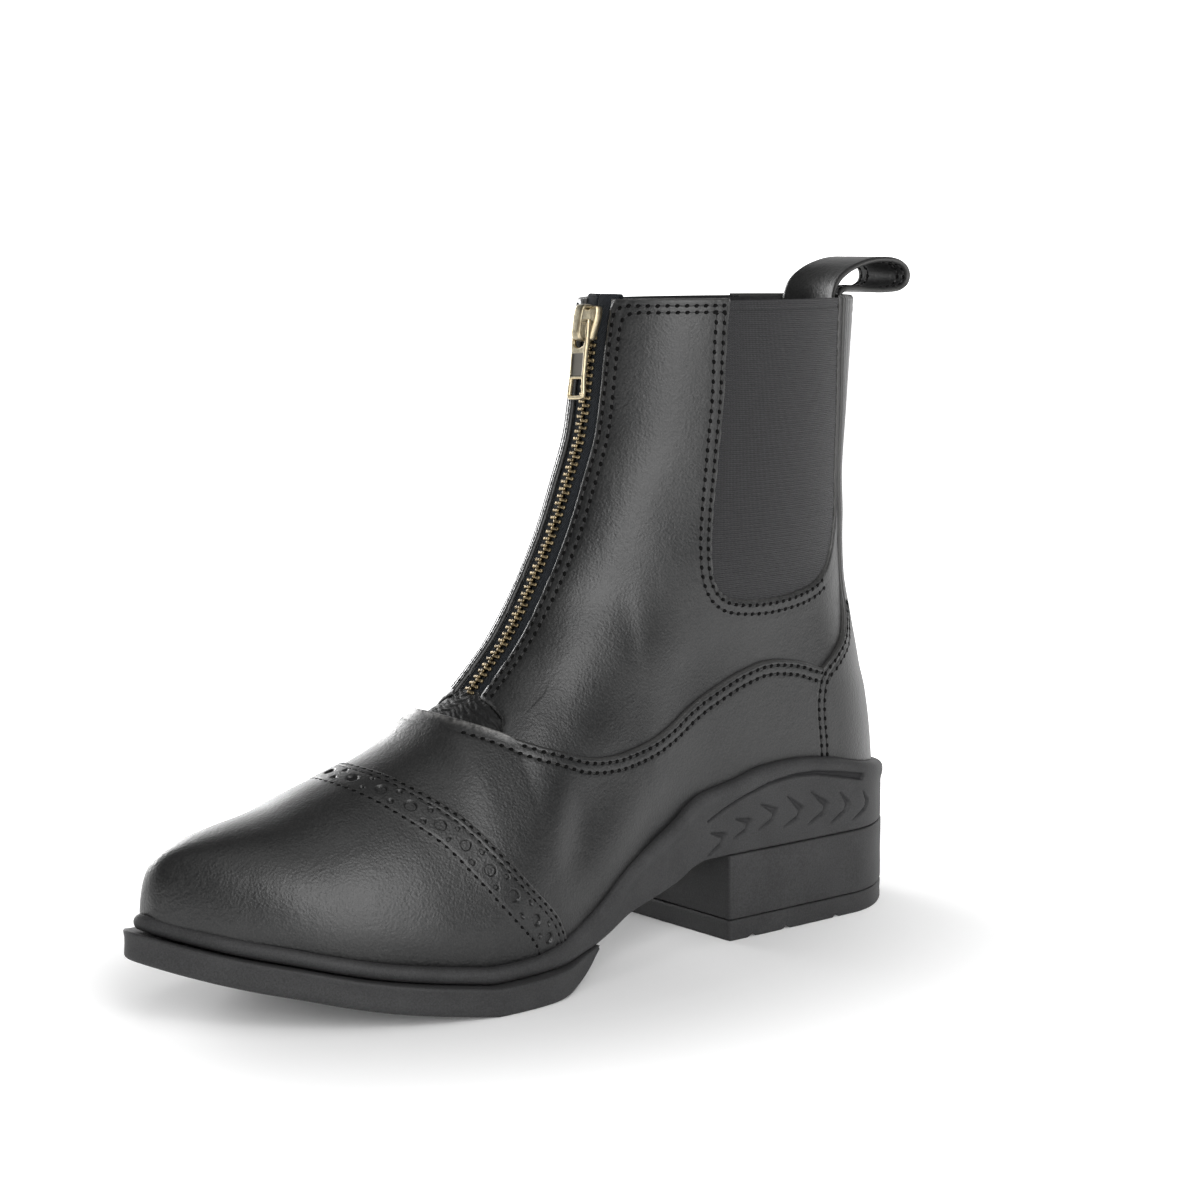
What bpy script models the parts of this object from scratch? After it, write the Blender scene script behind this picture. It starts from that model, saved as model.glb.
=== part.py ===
"""Left paddock boot with a front zip, elastic gores and a low rubber heel.

Metres, +Z up. The boot stands on its sole: +X runs from the heel to the toe and +Y is the
wearer's left, the outer side. Lengths in the tables are measured from the back of the heel,
and every mesh is then moved so that the origin is the middle of the heel's tread.
"""
import math

import bmesh
import bpy
import numpy as np
from mathutils import Matrix, Vector


def table(names, *rows):
    """Rows of numbers with named columns."""
    return dict(zip(names.split(), np.array(rows, float).T))


# Driving sizes
SOLE_LENGTH = 0.282
BALL_WIDTH = 0.098
SHAFT_HEIGHT = 0.204
COLLAR_LENGTH = 0.103
COLLAR_WIDTH = 0.066
INSTEP_HEIGHT = 0.0845
INSTEP_ALONG = 0.600
BACK_LEAN = 0.0175
HEEL_HEIGHT = 0.0282
HEEL_LENGTH = 0.088
TOP_LIFT_HEIGHT = 0.0067
PLATE_THICKNESS = 0.0085
TOE_SPRING = 0.020
BEAD_HEIGHT = 0.0047
CUP_HEIGHT = 0.0273
HEEL_REST = 0.050

# Thicknesses and clearances
UPPER_WALL = 0.0022
OVERLAY = 0.0009
GAP = 0.0003
OVERLAY_GAP = 0.0011
CHAIN_GAP = 0.0005
SEAT_AT_BALL = 0.0018
SEAT_AT_HEEL = 0.0045
INSOLE_THICKNESS = 0.0030
TAPE_THICKNESS = 0.0008
TAPE_START = 0.0020
CHAIN_START = 0.0040
GORE_THICKNESS = 0.0013
GORE_RECESS = 0.0005
LOOP_THICKNESS = 0.0016
EDGE_GAP = 0.0013
CUTTER_MARGIN = 0.010

# Insets of each outline from the outsole's outline, and the upper's share of that outline
BEAD_INSET = 0.0030
CUP_INSET = 0.0008
UPPER_SHARE = 0.885
UPPER_TOE_ALONG = 0.973

# Zip, gore and loop
ZIP_SLIT = 0.0130
CHAIN_WIDTH = 0.0052
CHAIN_THICKNESS = 0.0008
TOOTH_RISE = 0.0004
TOOTH_PITCH = 0.00235
SLIDER_LENGTH = 0.0110
SLIDER_WIDTH = 0.0092
SLIDER_THICKNESS = 0.0028
SLIDER_DROP = 0.0078
BRIDGE_WIDTH = 0.0028
BRIDGE_THICKNESS = 0.0012
BRIDGE_REACH = 0.0046
BRIDGE_PLAY = 0.0006
PULLER_LENGTH = 0.0250
PULLER_WIDTH = 0.0076
PULLER_THICKNESS = 0.0015
PULLER_SLOT = 0.0068
PULLER_RIM = 0.0014
PULLER_HANG_DEG = 9.0
PULLER_SKEW_DEG = 3.5
GORE_WIDTH = 0.058
GORE_DEPTH = 0.0954
GORE_ALONG = 0.128
LOOP_WIDTH = 0.024
LOOP_REACH = 0.0255
LOOP_RISE = 0.0110
COUNTER_HEIGHT = 0.1045
GROOVE_WIDTH = 0.0024
GROOVE_DEPTH = 0.0011

# How finely the curved pieces are divided
SIDE_STEPS = 22
UPPER_RINGS = 25
FINE_STEPS = 400

# Outsole outline: share of the sole's length, and of the ball's width to each side
OUTLINE = table(
    "along outer inner",
    (0.00, 0.000, 0.000),
    (0.03, 0.225, -0.220),
    (0.11, 0.333, -0.325),
    (0.21, 0.338, -0.330),
    (0.32, 0.338, -0.318),
    (0.43, 0.380, -0.330),
    (0.54, 0.465, -0.380),
    (0.61, 0.520, -0.420),
    (0.67, 0.530, -0.450),
    (0.74, 0.500, -0.455),
    (0.81, 0.430, -0.435),
    (0.885, 0.310, -0.378),
    (0.94, 0.175, -0.295),
    (0.98, 0.035, -0.185),
    (1.00, -0.085, -0.085),
)
# The line that the two sides of the upper meet on, across as a share of the ball's width
RIDGE_LINE = table("along across", (0.0, 0.0), (0.62, 0.0), (0.75, -0.012), (0.85, -0.035),
                   (0.92, -0.058), (1.0, -0.085))
# Underside of the moulded unit behind the ball: share of the drop from heel to ball
WAIST_LINE = table("along drop", (0.0, 1.0), (0.345, 1.0), (0.365, 0.95), (0.396, 0.77),
                   (0.443, 0.60), (0.476, 0.50), (0.515, 0.27), (0.535, 0.17), (0.557, 0.10),
                   (0.59, 0.02), (0.63, 0.0))
# Toe spring of the outsole plate, and the plate's tail as a share of its top's height
SPRING_LINE = table("along lift", (0.69, 0.0), (0.746, 0.12), (0.80, 0.245), (0.843, 0.38),
                    (0.884, 0.53), (0.921, 0.65), (0.968, 0.84), (1.0, 1.0))
TAIL_LINE = table("along lift", (0.531, 0.93), (0.539, 0.78), (0.55, 0.52), (0.571, 0.24),
                  (0.596, 0.04), (0.615, 0.0))
# Top of the rubber wall: share of the way from the bead's height to the cup's
RAND_LINE = table("along rise", (0.0, 0.59), (0.03, 0.64), (0.098, 0.79), (0.154, 0.94),
                  (0.206, 1.0), (0.254, 0.973), (0.302, 0.84), (0.355, 0.725), (0.43, 0.55),
                  (0.489, 0.367), (0.554, 0.18), (0.60, 0.075), (0.632, 0.01), (0.66, 0.0))
# Back of the upper: share of the shaft's height, and of the back's lean
BACK_LINE = table("up lean", (0.0, 0.20), (0.16, 0.24), (0.275, 0.36), (0.353, 0.53),
                  (0.407, 0.73), (0.51, 0.91), (0.64, 0.93), (0.72, 1.0), (0.83, 0.94),
                  (1.0, 0.83))
# Front of the shaft: share of the way up from the instep, and of the way forward to it
FRONT_LINE = table("up forward", (0.0, 1.0), (0.064, 0.854), (0.149, 0.680), (0.274, 0.502),
                   (0.40, 0.350), (0.529, 0.230), (0.657, 0.126), (0.878, 0.049), (1.0, 0.0))
# Top of the foot: share of the way from instep to toe, and of the instep's height
VAMP_LINE = table("along up", (0.0, 1.0), (0.131, 0.93), (0.219, 0.85), (0.41, 0.757),
                  (0.519, 0.71), (0.648, 0.65), (0.783, 0.615), (0.907, 0.575), (0.964, 0.535),
                  (0.99, 0.46))
# Shaft width up the leg as a share of the collar's, and how square the foot's sections are
SHAFT_WIDTHS = table("up width", (0.3, 0.94), (0.5, 0.93), (0.7, 0.95), (0.85, 0.97), (1.0, 1.0))
SECTIONS = table("along power", (0.3, 1.9), (0.588, 1.7), (0.7, 1.9), (0.85, 2.4), (1.0, 3.0))
# How blunt the sections are at their crown; 0.5 is an ellipse, less is blunter
FOOT_CROWN = table("along power", (0.3, 0.5), (0.5, 0.44), (0.588, 0.42), (0.66, 0.44), (0.75, 0.5))
SHAFT_CROWN = table("up power", (0.3, 0.40), (0.45, 0.40), (0.5, 0.42), (0.574, 0.46),
                    (0.65, 0.48), (0.75, 0.5))
# Tuck of the foot's wall above the rubber, and the stretch where foot turns into leg
TUCK_SHARE = 0.07
TUCK_TOP = 0.3
LEG_FROM = 0.35
LEG_TO = 0.63
# Top edge of the lower panel, front edge of the heel counter, rear edge of the toe cap
FOXING_EDGE = table("along up", (0.14, 0.406), (0.183, 0.421), (0.222, 0.433), (0.27, 0.429),
                    (0.33, 0.407), (0.39, 0.363), (0.447, 0.327), (0.504, 0.317), (0.56, 0.342),
                    (0.607, 0.372), (0.645, 0.385))
COUNTER_EDGE = table("up along", (0.15, 0.148), (0.253, 0.148), (0.338, 0.146), (0.385, 0.133),
                     (0.449, 0.117), (0.515, 0.102))
CAP_EDGE = table("up along", (0.083, 0.592), (0.145, 0.632), (0.221, 0.656), (0.287, 0.682),
                 (0.325, 0.727))
# Elastic gore: share of its width forward and of its depth down, once round from the front
GORE_FRONT = table("across down", (0.886, 0.0), (0.90, 0.165), (0.915, 0.345), (0.95, 0.52),
                   (0.985, 0.70), (1.0, 0.825), (0.972, 0.925))
GORE_BOTTOM = table("across down", (-0.04, 0.86), (0.04, 0.925), (0.167, 0.967), (0.35, 0.992),
                    (0.58, 1.0), (0.79, 0.99), (0.91, 0.968), (0.972, 0.925))
GORE_BACK = table("across down", (0.0, 0.0), (-0.015, 0.13), (-0.052, 0.37), (-0.085, 0.53),
                  (-0.10, 0.66), (-0.04, 0.86))
# Pull loop, from its inner end over and back: shares of its reach behind and rise above the collar
LOOP_FOLDS = table("behind above", (-0.27, -1.4), (-0.27, 0.05), (-0.17, 0.50), (0.18, 0.90),
                   (0.60, 1.0), (0.90, 0.84), (1.0, 0.55), (0.90, 0.28), (0.60, 0.17),
                   (0.25, 0.17), (-0.02, 0.19), (-0.12, 0.13), (-0.165, -0.05), (-0.165, -1.4))
# Treads of the heel: where the grooves run across, as shares of the heel's length
GROOVES = (0.455, 0.716, 0.886)
# Right half of the slider's shield and of the pull tab's outline and window, from their top down:
# shares of the half width and of the length from the middle, and of the half width and of the length
SHIELD = table("across along", (0.15, 0.8), (0.85, 1.0), (1.0, 0.4), (0.8, -0.4), (0.62, -1.0))
TAB_FOOT = table("across down", (0.72, 0.36), (0.72, 0.72), (0.95, 0.88), (0.8, 1.0))
WINDOW_TOP = 0.74
# Section of the rubber wall: inset beyond the wall's own and share of the way up
WALL_FOOT = 0.0012
WALL_LOW = (0.0002, 0.12)
WALL_CREST = (0.0006, 0.88)
LIP_REACH = 0.45
# Overlays: turns and shares left free beside a neighbour's edge
SEAM_TURN = 0.012
SEAM_SHARE = 0.006

BOOT = "paddock_boot"


def smooth(x, xs, ys):
    """Monotone cubic through the rows, level beyond them."""
    x = np.clip(np.asarray(x, float), xs[0], xs[-1])
    step = np.diff(xs)
    slope = np.diff(ys) / step
    inner = np.zeros(len(xs))
    same = slope[:-1] * slope[1:] > 0
    first, second = step[:-1] + 2 * step[1:], 2 * step[:-1] + step[1:]
    mean = (first + second) / (first / np.where(same, slope[:-1], 1)
                               + second / np.where(same, slope[1:], 1))
    inner[1:-1] = np.where(same, mean, 0)
    inner[0], inner[-1] = slope[0], slope[-1]
    i = np.clip(np.searchsorted(xs, x) - 1, 0, len(step) - 1)
    s = (x - xs[i]) / step[i]
    return (ys[i] * (1 + 2 * s) * (1 - s) ** 2 + ys[i + 1] * s * s * (3 - 2 * s)
            + step[i] * s * (1 - s) * (inner[i] * (1 - s) - inner[i + 1] * s))


def ease(x, low, high):
    """0 below low, 1 above high, an S between."""
    s = np.clip((np.asarray(x, float) - low) / (high - low), 0, 1)
    return s * s * (3 - 2 * s)


def sides_of_sole(along):
    """Outer and inner edge of the outsole, as functions of the share of its length."""
    turn = np.arccos(1 - 2 * np.clip(along, 0, 1))
    rows = np.arccos(1 - 2 * OUTLINE["along"])
    return (smooth(turn, rows, OUTLINE["outer"]) * BALL_WIDTH,
            smooth(turn, rows, OUTLINE["inner"]) * BALL_WIDTH)


def underside(x):
    """Underside of the moulded unit: heel, waist, and the top of the plate under the foot."""
    along = x / SOLE_LENGTH
    ball = PLATE_THICKNESS + GAP
    spring = smooth(along, SPRING_LINE["along"], SPRING_LINE["lift"]) * TOE_SPRING
    drop = smooth(along, WAIST_LINE["along"], WAIST_LINE["drop"])
    return ball + spring + (HEEL_HEIGHT - ball) * drop


def plate_bottom(x):
    """Tread side of the outsole plate: level under the ball, rising to toe and tail."""
    along = x / SOLE_LENGTH
    tail = smooth(along, TAIL_LINE["along"], TAIL_LINE["lift"])
    spring = smooth(along, SPRING_LINE["along"], SPRING_LINE["lift"]) * TOE_SPRING
    return spring + (underside(x) - GAP) * tail


def rand_top(x):
    """Top of the rubber: a low bead round the foot that climbs into the heel cup."""
    rise = smooth(x / SOLE_LENGTH, RAND_LINE["along"], RAND_LINE["rise"])
    return underside(x) + BEAD_HEIGHT + (CUP_HEIGHT - BEAD_HEIGHT) * rise


def feather(x):
    """Bottom edge of the upper, inside the rubber."""
    heel = 1 - ease(x / SOLE_LENGTH, 0.45, 0.62)
    return underside(x) + SEAT_AT_BALL + (SEAT_AT_HEEL - SEAT_AT_BALL) * heel


def back_line(z):
    return BACK_LEAN * smooth(z / SHAFT_HEIGHT, BACK_LINE["up"], BACK_LINE["lean"])


TOE_X = UPPER_TOE_ALONG * SOLE_LENGTH
INSTEP_X = INSTEP_ALONG * SOLE_LENGTH
COLLAR_FRONT = float(back_line(SHAFT_HEIGHT)) + COLLAR_LENGTH
STEPS = np.linspace(0, 1, FINE_STEPS)
LEVELS = np.linspace(0, 1, UPPER_RINGS) ** 1.25


def ridge():
    """The boot's front outline in side view, from collar to toe."""
    up = STEPS[::-1]
    shaft_x = COLLAR_FRONT + (INSTEP_X - COLLAR_FRONT) * smooth(
        up, FRONT_LINE["up"], FRONT_LINE["forward"])
    shaft_z = INSTEP_HEIGHT + (SHAFT_HEIGHT - INSTEP_HEIGHT) * up
    foot_along = np.append(VAMP_LINE["along"], 1.0)
    foot_up = np.append(VAMP_LINE["up"], feather(TOE_X) / INSTEP_HEIGHT)
    foot_x = INSTEP_X + (TOE_X - INSTEP_X) * STEPS
    foot_z = INSTEP_HEIGHT * smooth(STEPS, foot_along, foot_up)
    return np.append(shaft_x, foot_x[1:]), np.append(shaft_z, foot_z[1:])


RIDGE_X, RIDGE_Z = ridge()


def ridge_height(x):
    """Height of the front outline; behind the collar's front it keeps climbing."""
    behind = np.clip(COLLAR_FRONT - x, 0, None)
    return np.interp(x, RIDGE_X, RIDGE_Z) + 4 * behind


def ring_ends():
    """Back and front of the upper at each share of the way from feather to collar."""
    back = np.zeros_like(STEPS)
    for _ in range(12):
        z = feather(back) + (SHAFT_HEIGHT - feather(back)) * STEPS
        back = back_line(z)
    front = []
    for share in STEPS:
        level = feather(RIDGE_X) + (SHAFT_HEIGHT - feather(RIDGE_X)) * share
        front.append(np.interp(0, level - RIDGE_Z, RIDGE_X))
    return back, np.array(front)


BACKS, FRONTS = ring_ends()


def turns():
    """Once round, without the repeated end."""
    return np.linspace(0, 2 * math.pi, 2 * SIDE_STEPS, endpoint=False)


def oval(u, crown):
    """Half an oval over 0 to 1, an ellipse at the back, as blunt as the crown says in front."""
    return np.clip(1 - (2 * u - 1) ** 2, 0, 1) ** np.where(u > 1 / 2, crown, 1 / 2)


def upper_y(x, z, outer):
    """Where the upper's outside lies across, from its side view."""
    back = back_line(z)
    along = np.clip((x - back) / (TOE_X - back), 0, 1)
    edge_out, edge_in = sides_of_sole(along)
    edge = np.where(outer, edge_out, edge_in)
    middle = smooth(along, RIDGE_LINE["along"], RIDGE_LINE["across"]) * BALL_WIDTH
    low = feather(x)
    up = np.clip((z - low) / np.maximum(ridge_height(x) - low, 1e-6), 0, 1)
    power = smooth(along, SECTIONS["along"], SECTIONS["power"])
    tuck = 1 - TUCK_SHARE * np.clip(1 - up / TUCK_TOP, 0, 1) ** 2
    crown = smooth(along, FOOT_CROWN["along"], FOOT_CROWN["power"])
    foot = middle + (edge - middle) * UPPER_SHARE * tuck * (1 - up ** power) ** crown
    front = np.interp(z, RIDGE_Z[::-1], RIDGE_X[::-1])
    u = np.clip((x - back) / (front - back), 0, 1)
    half = COLLAR_WIDTH / 2 * smooth(z / SHAFT_HEIGHT, SHAFT_WIDTHS["up"], SHAFT_WIDTHS["width"])
    crown = smooth(z / SHAFT_HEIGHT, SHAFT_CROWN["up"], SHAFT_CROWN["power"])
    shaft = np.where(outer, 1, -1) * half * oval(u, crown)
    leg = ease(z / SHAFT_HEIGHT, LEG_FROM, LEG_TO)
    return foot + (shaft - foot) * leg


def upper_raw(turn, up):
    """Outside of the upper: turn goes once round from the back, up from feather to collar."""
    back = np.interp(up, STEPS, BACKS)
    front = np.interp(up, STEPS, FRONTS)
    x = back + (front - back) * (1 - np.cos(turn)) / 2
    z = feather(x) + (SHAFT_HEIGHT - feather(x)) * up
    return np.stack([x, upper_y(x, z, np.sin(turn) >= 0), z], -1)


def upper_at(turn, up, lift=0.0):
    """The same surface moved outwards by lift, which may be negative."""
    turn, up = np.broadcast_arrays(np.asarray(turn, float), np.asarray(up, float))
    small = 0.004
    round_it = upper_raw(turn + small, up) - upper_raw(turn - small, up)
    up_it = upper_raw(turn, np.minimum(up + small, 1)) - upper_raw(turn, np.maximum(up - small, 0))
    normal = np.cross(up_it, round_it)
    normal /= np.maximum(np.linalg.norm(normal, axis=-1, keepdims=True), 1e-12)
    return upper_raw(turn, up) + normal * np.asarray(lift)[..., None]


def on_facets(turn, up, lift):
    """Points on the flat-sided upper as it is meshed, moved outwards by lift."""
    points = upper_at(np.append(turns(), 2 * math.pi)[None, :], LEVELS[:, None], lift)
    column = np.clip(turn / math.pi * SIDE_STEPS, 0, 2 * SIDE_STEPS - 1e-9)
    row = np.clip(np.interp(up, LEVELS, np.arange(UPPER_RINGS)), 0, UPPER_RINGS - 1 - 1e-9)
    j, i = column.astype(int), row.astype(int)
    right, above = (column - j)[..., None], (row - i)[..., None]
    low = points[i, j] * (1 - right) + points[i, j + 1] * right
    high = points[i + 1, j] * (1 - right) + points[i + 1, j + 1] * right
    return low * (1 - above) + high * above


def side_to_surface(x, z):
    """Turn and up on the outer side of the upper for a point of the side view."""
    up = share_up(x, z)
    back = np.interp(up, STEPS, BACKS)
    front = np.interp(up, STEPS, FRONTS)
    return np.arccos(1 - 2 * np.clip((x - back) / (front - back), 0, 1)), up


def first_above(turn, test):
    """For each turn, the first share of the way up where test(x, z) turns positive."""
    found = []
    for one in np.atleast_1d(turn):
        point = upper_raw(np.full_like(STEPS, one), STEPS)
        value = test(point[:, 0], point[:, 2])
        hit = int(np.argmax(value > 0))
        before = max(hit - 1, 0)
        span = value[hit] - value[before]
        share = -value[before] / span if span > 0 else 0.0
        found.append(STEPS[before] + (STEPS[hit] - STEPS[before]) * share)
    return np.array(found)


def rand_up(turn, clear=0.0):
    return first_above(turn, lambda x, z: z - rand_top(x) - clear)


def cap_up(turn):
    return first_above(turn, lambda x, z: smooth(
        z / SHAFT_HEIGHT, CAP_EDGE["up"], CAP_EDGE["along"]) * SOLE_LENGTH - x)


def foxing_up(turn):
    return first_above(turn, lambda x, z: np.where(
        x > FOXING_EDGE["along"][-1] * SOLE_LENGTH, -1.0,
        z - smooth(x / SOLE_LENGTH, FOXING_EDGE["along"], FOXING_EDGE["up"]) * SHAFT_HEIGHT))


def counter_turn(up):
    """Turn at which the counter's front edge crosses each share of the way up."""
    found = []
    for one in np.atleast_1d(up):
        turn = STEPS * math.pi / 2
        point = upper_raw(turn, np.full_like(turn, one))
        edge = smooth(point[:, 2] / SHAFT_HEIGHT, COUNTER_EDGE["up"], COUNTER_EDGE["along"])
        found.append(np.interp(0, point[:, 0] - edge * SOLE_LENGTH, turn))
    return np.array(found)


def front_turn(up, across):
    """Turn at which the front of the shaft lies the given distance to one side."""
    turn = math.pi / 2 + STEPS * math.pi
    found = []
    for one_up, one_across in zip(*np.broadcast_arrays(up, across)):
        point = upper_raw(turn, np.full_like(turn, one_up))
        found.append(np.interp(-one_across, -point[:, 1], turn))
    return np.array(found)


def material(name, colour, roughness, metallic=0.0):
    made = bpy.data.materials.new(name)
    made.use_nodes = True
    shader = made.node_tree.nodes["Principled BSDF"]
    shader.inputs["Base Color"].default_value = (*colour, 1)
    shader.inputs["Roughness"].default_value = roughness
    shader.inputs["Metallic"].default_value = metallic
    return made


def finish(name, mesh, made_of, parts):
    """Put a mesh into the scene as one named piece."""
    for face in mesh.polygons:
        face.use_smooth = True
    mesh.set_sharp_from_angle(angle=math.radians(40))
    piece = bpy.data.objects.new(name, mesh)
    piece.data.materials.append(made_of)
    parts.objects.link(piece)
    return piece


def mesh_from(name, points, faces):
    """Mesh from points measured from the back of the heel, with no doubled points."""
    shifted = np.asarray(points, float) - (HEEL_REST, 0, 0)
    mesh = bpy.data.meshes.new(name)
    mesh.from_pydata(shifted.tolist(), [], faces)
    shape = bmesh.new()
    shape.from_mesh(mesh)
    bmesh.ops.remove_doubles(shape, verts=shape.verts, dist=1e-6)
    bmesh.ops.dissolve_degenerate(shape, edges=shape.edges, dist=1e-7)
    shape.to_mesh(mesh)
    shape.free()
    return mesh


def grid_faces(rows, columns, closed):
    """Quads of a grid, in the order that faces outwards on the upper's surface."""
    last = columns if closed else columns - 1
    return [(i * columns + j, (i + 1) * columns + j,
             (i + 1) * columns + (j + 1) % columns, i * columns + (j + 1) % columns)
            for i in range(rows - 1) for j in range(last)]


def sheet(name, grid, thickness, made_of, parts, side=1, closed=False, even=True):
    """Open surface given a thickness: side is 1 to its front, -1 to its back, 0 to both."""
    rows, columns = grid.shape[:2]
    mesh = mesh_from(name, grid.reshape(-1, 3), grid_faces(rows, columns, closed))
    piece = finish(name, mesh, made_of, parts)
    wall = piece.modifiers.new("wall", "SOLIDIFY")
    wall.thickness = thickness
    wall.offset = side
    wall.use_even_offset = even
    return piece


def stack(name, rings, made_of, parts):
    """Closed solid through rings that go once round; each end is filled from side to side."""
    rings = np.array(rings)
    levels, around = rings.shape[:2]
    faces = grid_faces(levels, around, True)
    top = (levels - 1) * around
    for i in range(around // 2):
        left, right = i, (around - i) % around
        next_left, next_right = i + 1, (around - i - 1) % around
        bottom_face = [left, next_left, next_right, right]
        faces.append(tuple(dict.fromkeys(bottom_face)))
        faces.append(tuple(top + k for k in dict.fromkeys(reversed(bottom_face))))
    return finish(name, mesh_from(name, rings.reshape(-1, 3), faces), made_of, parts)


def sole_ring(inset, height):
    """Ring on the outsole's outline, moved inwards, at a height that depends on x."""
    fine = np.linspace(0, 2 * math.pi, 2 * FINE_STEPS, endpoint=False)
    x = SOLE_LENGTH * (1 - np.cos(fine)) / 2
    outer, inner = sides_of_sole(x / SOLE_LENGTH)
    y = np.where(np.sin(fine) >= 0, outer, inner)
    along = np.stack([np.roll(x, -1) - np.roll(x, 1), np.roll(y, -1) - np.roll(y, 1)], -1)
    along /= np.linalg.norm(along, axis=-1, keepdims=True)
    pick = (turns() / (2 * math.pi) * len(fine)).round().astype(int)
    push = inset(x[pick]) if callable(inset) else inset
    ring_x = x[pick] + along[pick, 1] * push
    ring_y = y[pick] - along[pick, 0] * push
    return np.stack([ring_x, ring_y, height(ring_x)], -1)


def leather_upper(parts, cutters, made_of):
    """Hollow leather upper, open at collar, zip, gores and sole."""
    grid = upper_at(turns()[None, :], LEVELS[:, None])
    piece = sheet("upper", grid, UPPER_WALL, made_of, parts, side=-1, closed=True)
    for cutter in cutters:
        cut = piece.modifiers.new(cutter.name, "BOOLEAN")
        cut.operation = "DIFFERENCE"
        cut.object = cutter
    return piece


def prism(name, outline, low, high, cutters, across="Y"):
    """Cutter: an outline in side view carried across the boot."""
    shape = bmesh.new()
    if across == "Y":
        ring = [shape.verts.new((x - HEEL_REST, low, z)) for x, z in outline]
    else:
        ring = [shape.verts.new((x - HEEL_REST, y, low)) for x, y in outline]
    face = shape.faces.new(ring)
    grown = bmesh.ops.extrude_face_region(shape, geom=[face])
    moved = [part for part in grown["geom"] if isinstance(part, bmesh.types.BMVert)]
    shift = Vector((0, high - low, 0)) if across == "Y" else Vector((0, 0, high - low))
    bmesh.ops.translate(shape, verts=moved, vec=shift)
    bmesh.ops.recalc_face_normals(shape, faces=shape.faces)
    mesh = bpy.data.meshes.new(name)
    shape.to_mesh(mesh)
    shape.free()
    cutter = bpy.data.objects.new(name, mesh)
    cutter.hide_render = True
    cutter.display_type = "WIRE"
    cutters.objects.link(cutter)
    return cutter


def gore_side(rows, spread=0.0):
    """Points of one stretch of the gore's outline in side view."""
    x = GORE_ALONG * SOLE_LENGTH + rows["across"] * GORE_WIDTH
    z = SHAFT_HEIGHT - rows["down"] * GORE_DEPTH
    middle = GORE_ALONG * SOLE_LENGTH + GORE_WIDTH / 2
    return np.stack([x + np.sign(x - middle) * spread, z - spread * (rows["down"] > 0.9)], -1)


def gore_cutter(cutters):
    front = gore_side(GORE_FRONT)
    bottom = gore_side(GORE_BOTTOM)
    back = gore_side(GORE_BACK)
    top = SHAFT_HEIGHT + CUTTER_MARGIN
    outline = [(front[0, 0], top), *front, *bottom[-2:0:-1], *back[::-1], (back[0, 0], top)]
    return prism("gore_cutter", outline, -COLLAR_WIDTH, COLLAR_WIDTH, cutters)


def slit_cutter(cutters):
    """Box for the zip, from its foot up through the front of the collar."""
    behind = COLLAR_FRONT - COLLAR_LENGTH / 2
    ahead = INSTEP_X + ZIP_SLIT
    above = SHAFT_HEIGHT + ZIP_SLIT
    outline = [(behind, INSTEP_HEIGHT), (ahead, INSTEP_HEIGHT), (ahead, above), (behind, above)]
    return prism("zip_cutter", outline, -ZIP_SLIT / 2, ZIP_SLIT / 2, cutters)


def along_edge(edge, shares):
    """Points at even shares of an outline stretch."""
    length = np.append(0, np.cumsum(np.linalg.norm(np.diff(edge, axis=0), axis=1)))
    length /= length[-1]
    return np.stack([np.interp(shares, length, edge[:, k]) for k in range(2)], -1)


def gore(name, outer, parts, made_of):
    """Elastic panel that fills its opening, a little below the leather."""
    front, bottom, back = (gore_side(rows, -GAP) for rows in (GORE_FRONT, GORE_BOTTOM, GORE_BACK))
    across = np.linspace(0, 1, 9)[None, :, None]
    down = np.linspace(0, 1, 11)[:, None, None]
    left = along_edge(back, down[:, 0, 0])[:, None]
    right = along_edge(front, down[:, 0, 0])[:, None]
    low = along_edge(bottom, across[0, :, 0])[None]
    high = back[0] + (front[0] - back[0]) * across
    corners = ((1 - across) * (1 - down) * back[0] + across * (1 - down) * front[0]
               + (1 - across) * down * bottom[0] + across * down * bottom[-1])
    side = (1 - across) * left + across * right + (1 - down) * high + down * low - corners
    turn, up = side_to_surface(side[..., 0], side[..., 1])
    turn, up = turn[::-1], up[::-1]
    if not outer:
        turn, up = 2 * math.pi - turn[:, ::-1], up[:, ::-1]
    grid = upper_at(turn, up, -GORE_RECESS)
    return sheet(name, grid, GORE_THICKNESS, made_of, parts, side=-1)


def overlay(name, turn, low, high, rear, parts, made_of):
    """Leather laid on the upper: columns and rows of the upper's own grid, cut off at its edges."""
    turn = np.broadcast_to(turn, (UPPER_RINGS, len(turn))).copy()
    start = turn.copy()
    for _ in range(4):
        up = np.array([np.clip(level, low(row), high(row)) for level, row in zip(LEVELS, turn)])
        turn = np.maximum(start, rear(up))
    turn = np.hstack([turn, 2 * math.pi - turn[:, -2::-1]])
    up = np.hstack([up, up[:, -2::-1]])
    return sheet(name, on_facets(turn, up, OVERLAY_GAP), OVERLAY, made_of, parts, even=False)


def toe_cap(parts, made_of):
    """Leather cap over the toe, edged by the rubber and by its swept rear edge."""
    trial = np.linspace(math.pi / 2, math.pi, FINE_STEPS // 4)
    start = np.interp(SEAM_SHARE / 3, cap_up(trial) - rand_up(trial, EDGE_GAP), trial)
    turn = turns()[:SIDE_STEPS + 1]
    turn = np.append(start, turn[turn > start + SEAM_TURN])

    def low(row):
        return rand_up(row, EDGE_GAP)

    def high(row):
        return np.maximum(cap_up(row), low(row) + SEAM_SHARE / 6)
    return overlay("toe_cap", turn, low, high, np.zeros_like, parts, made_of)


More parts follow.
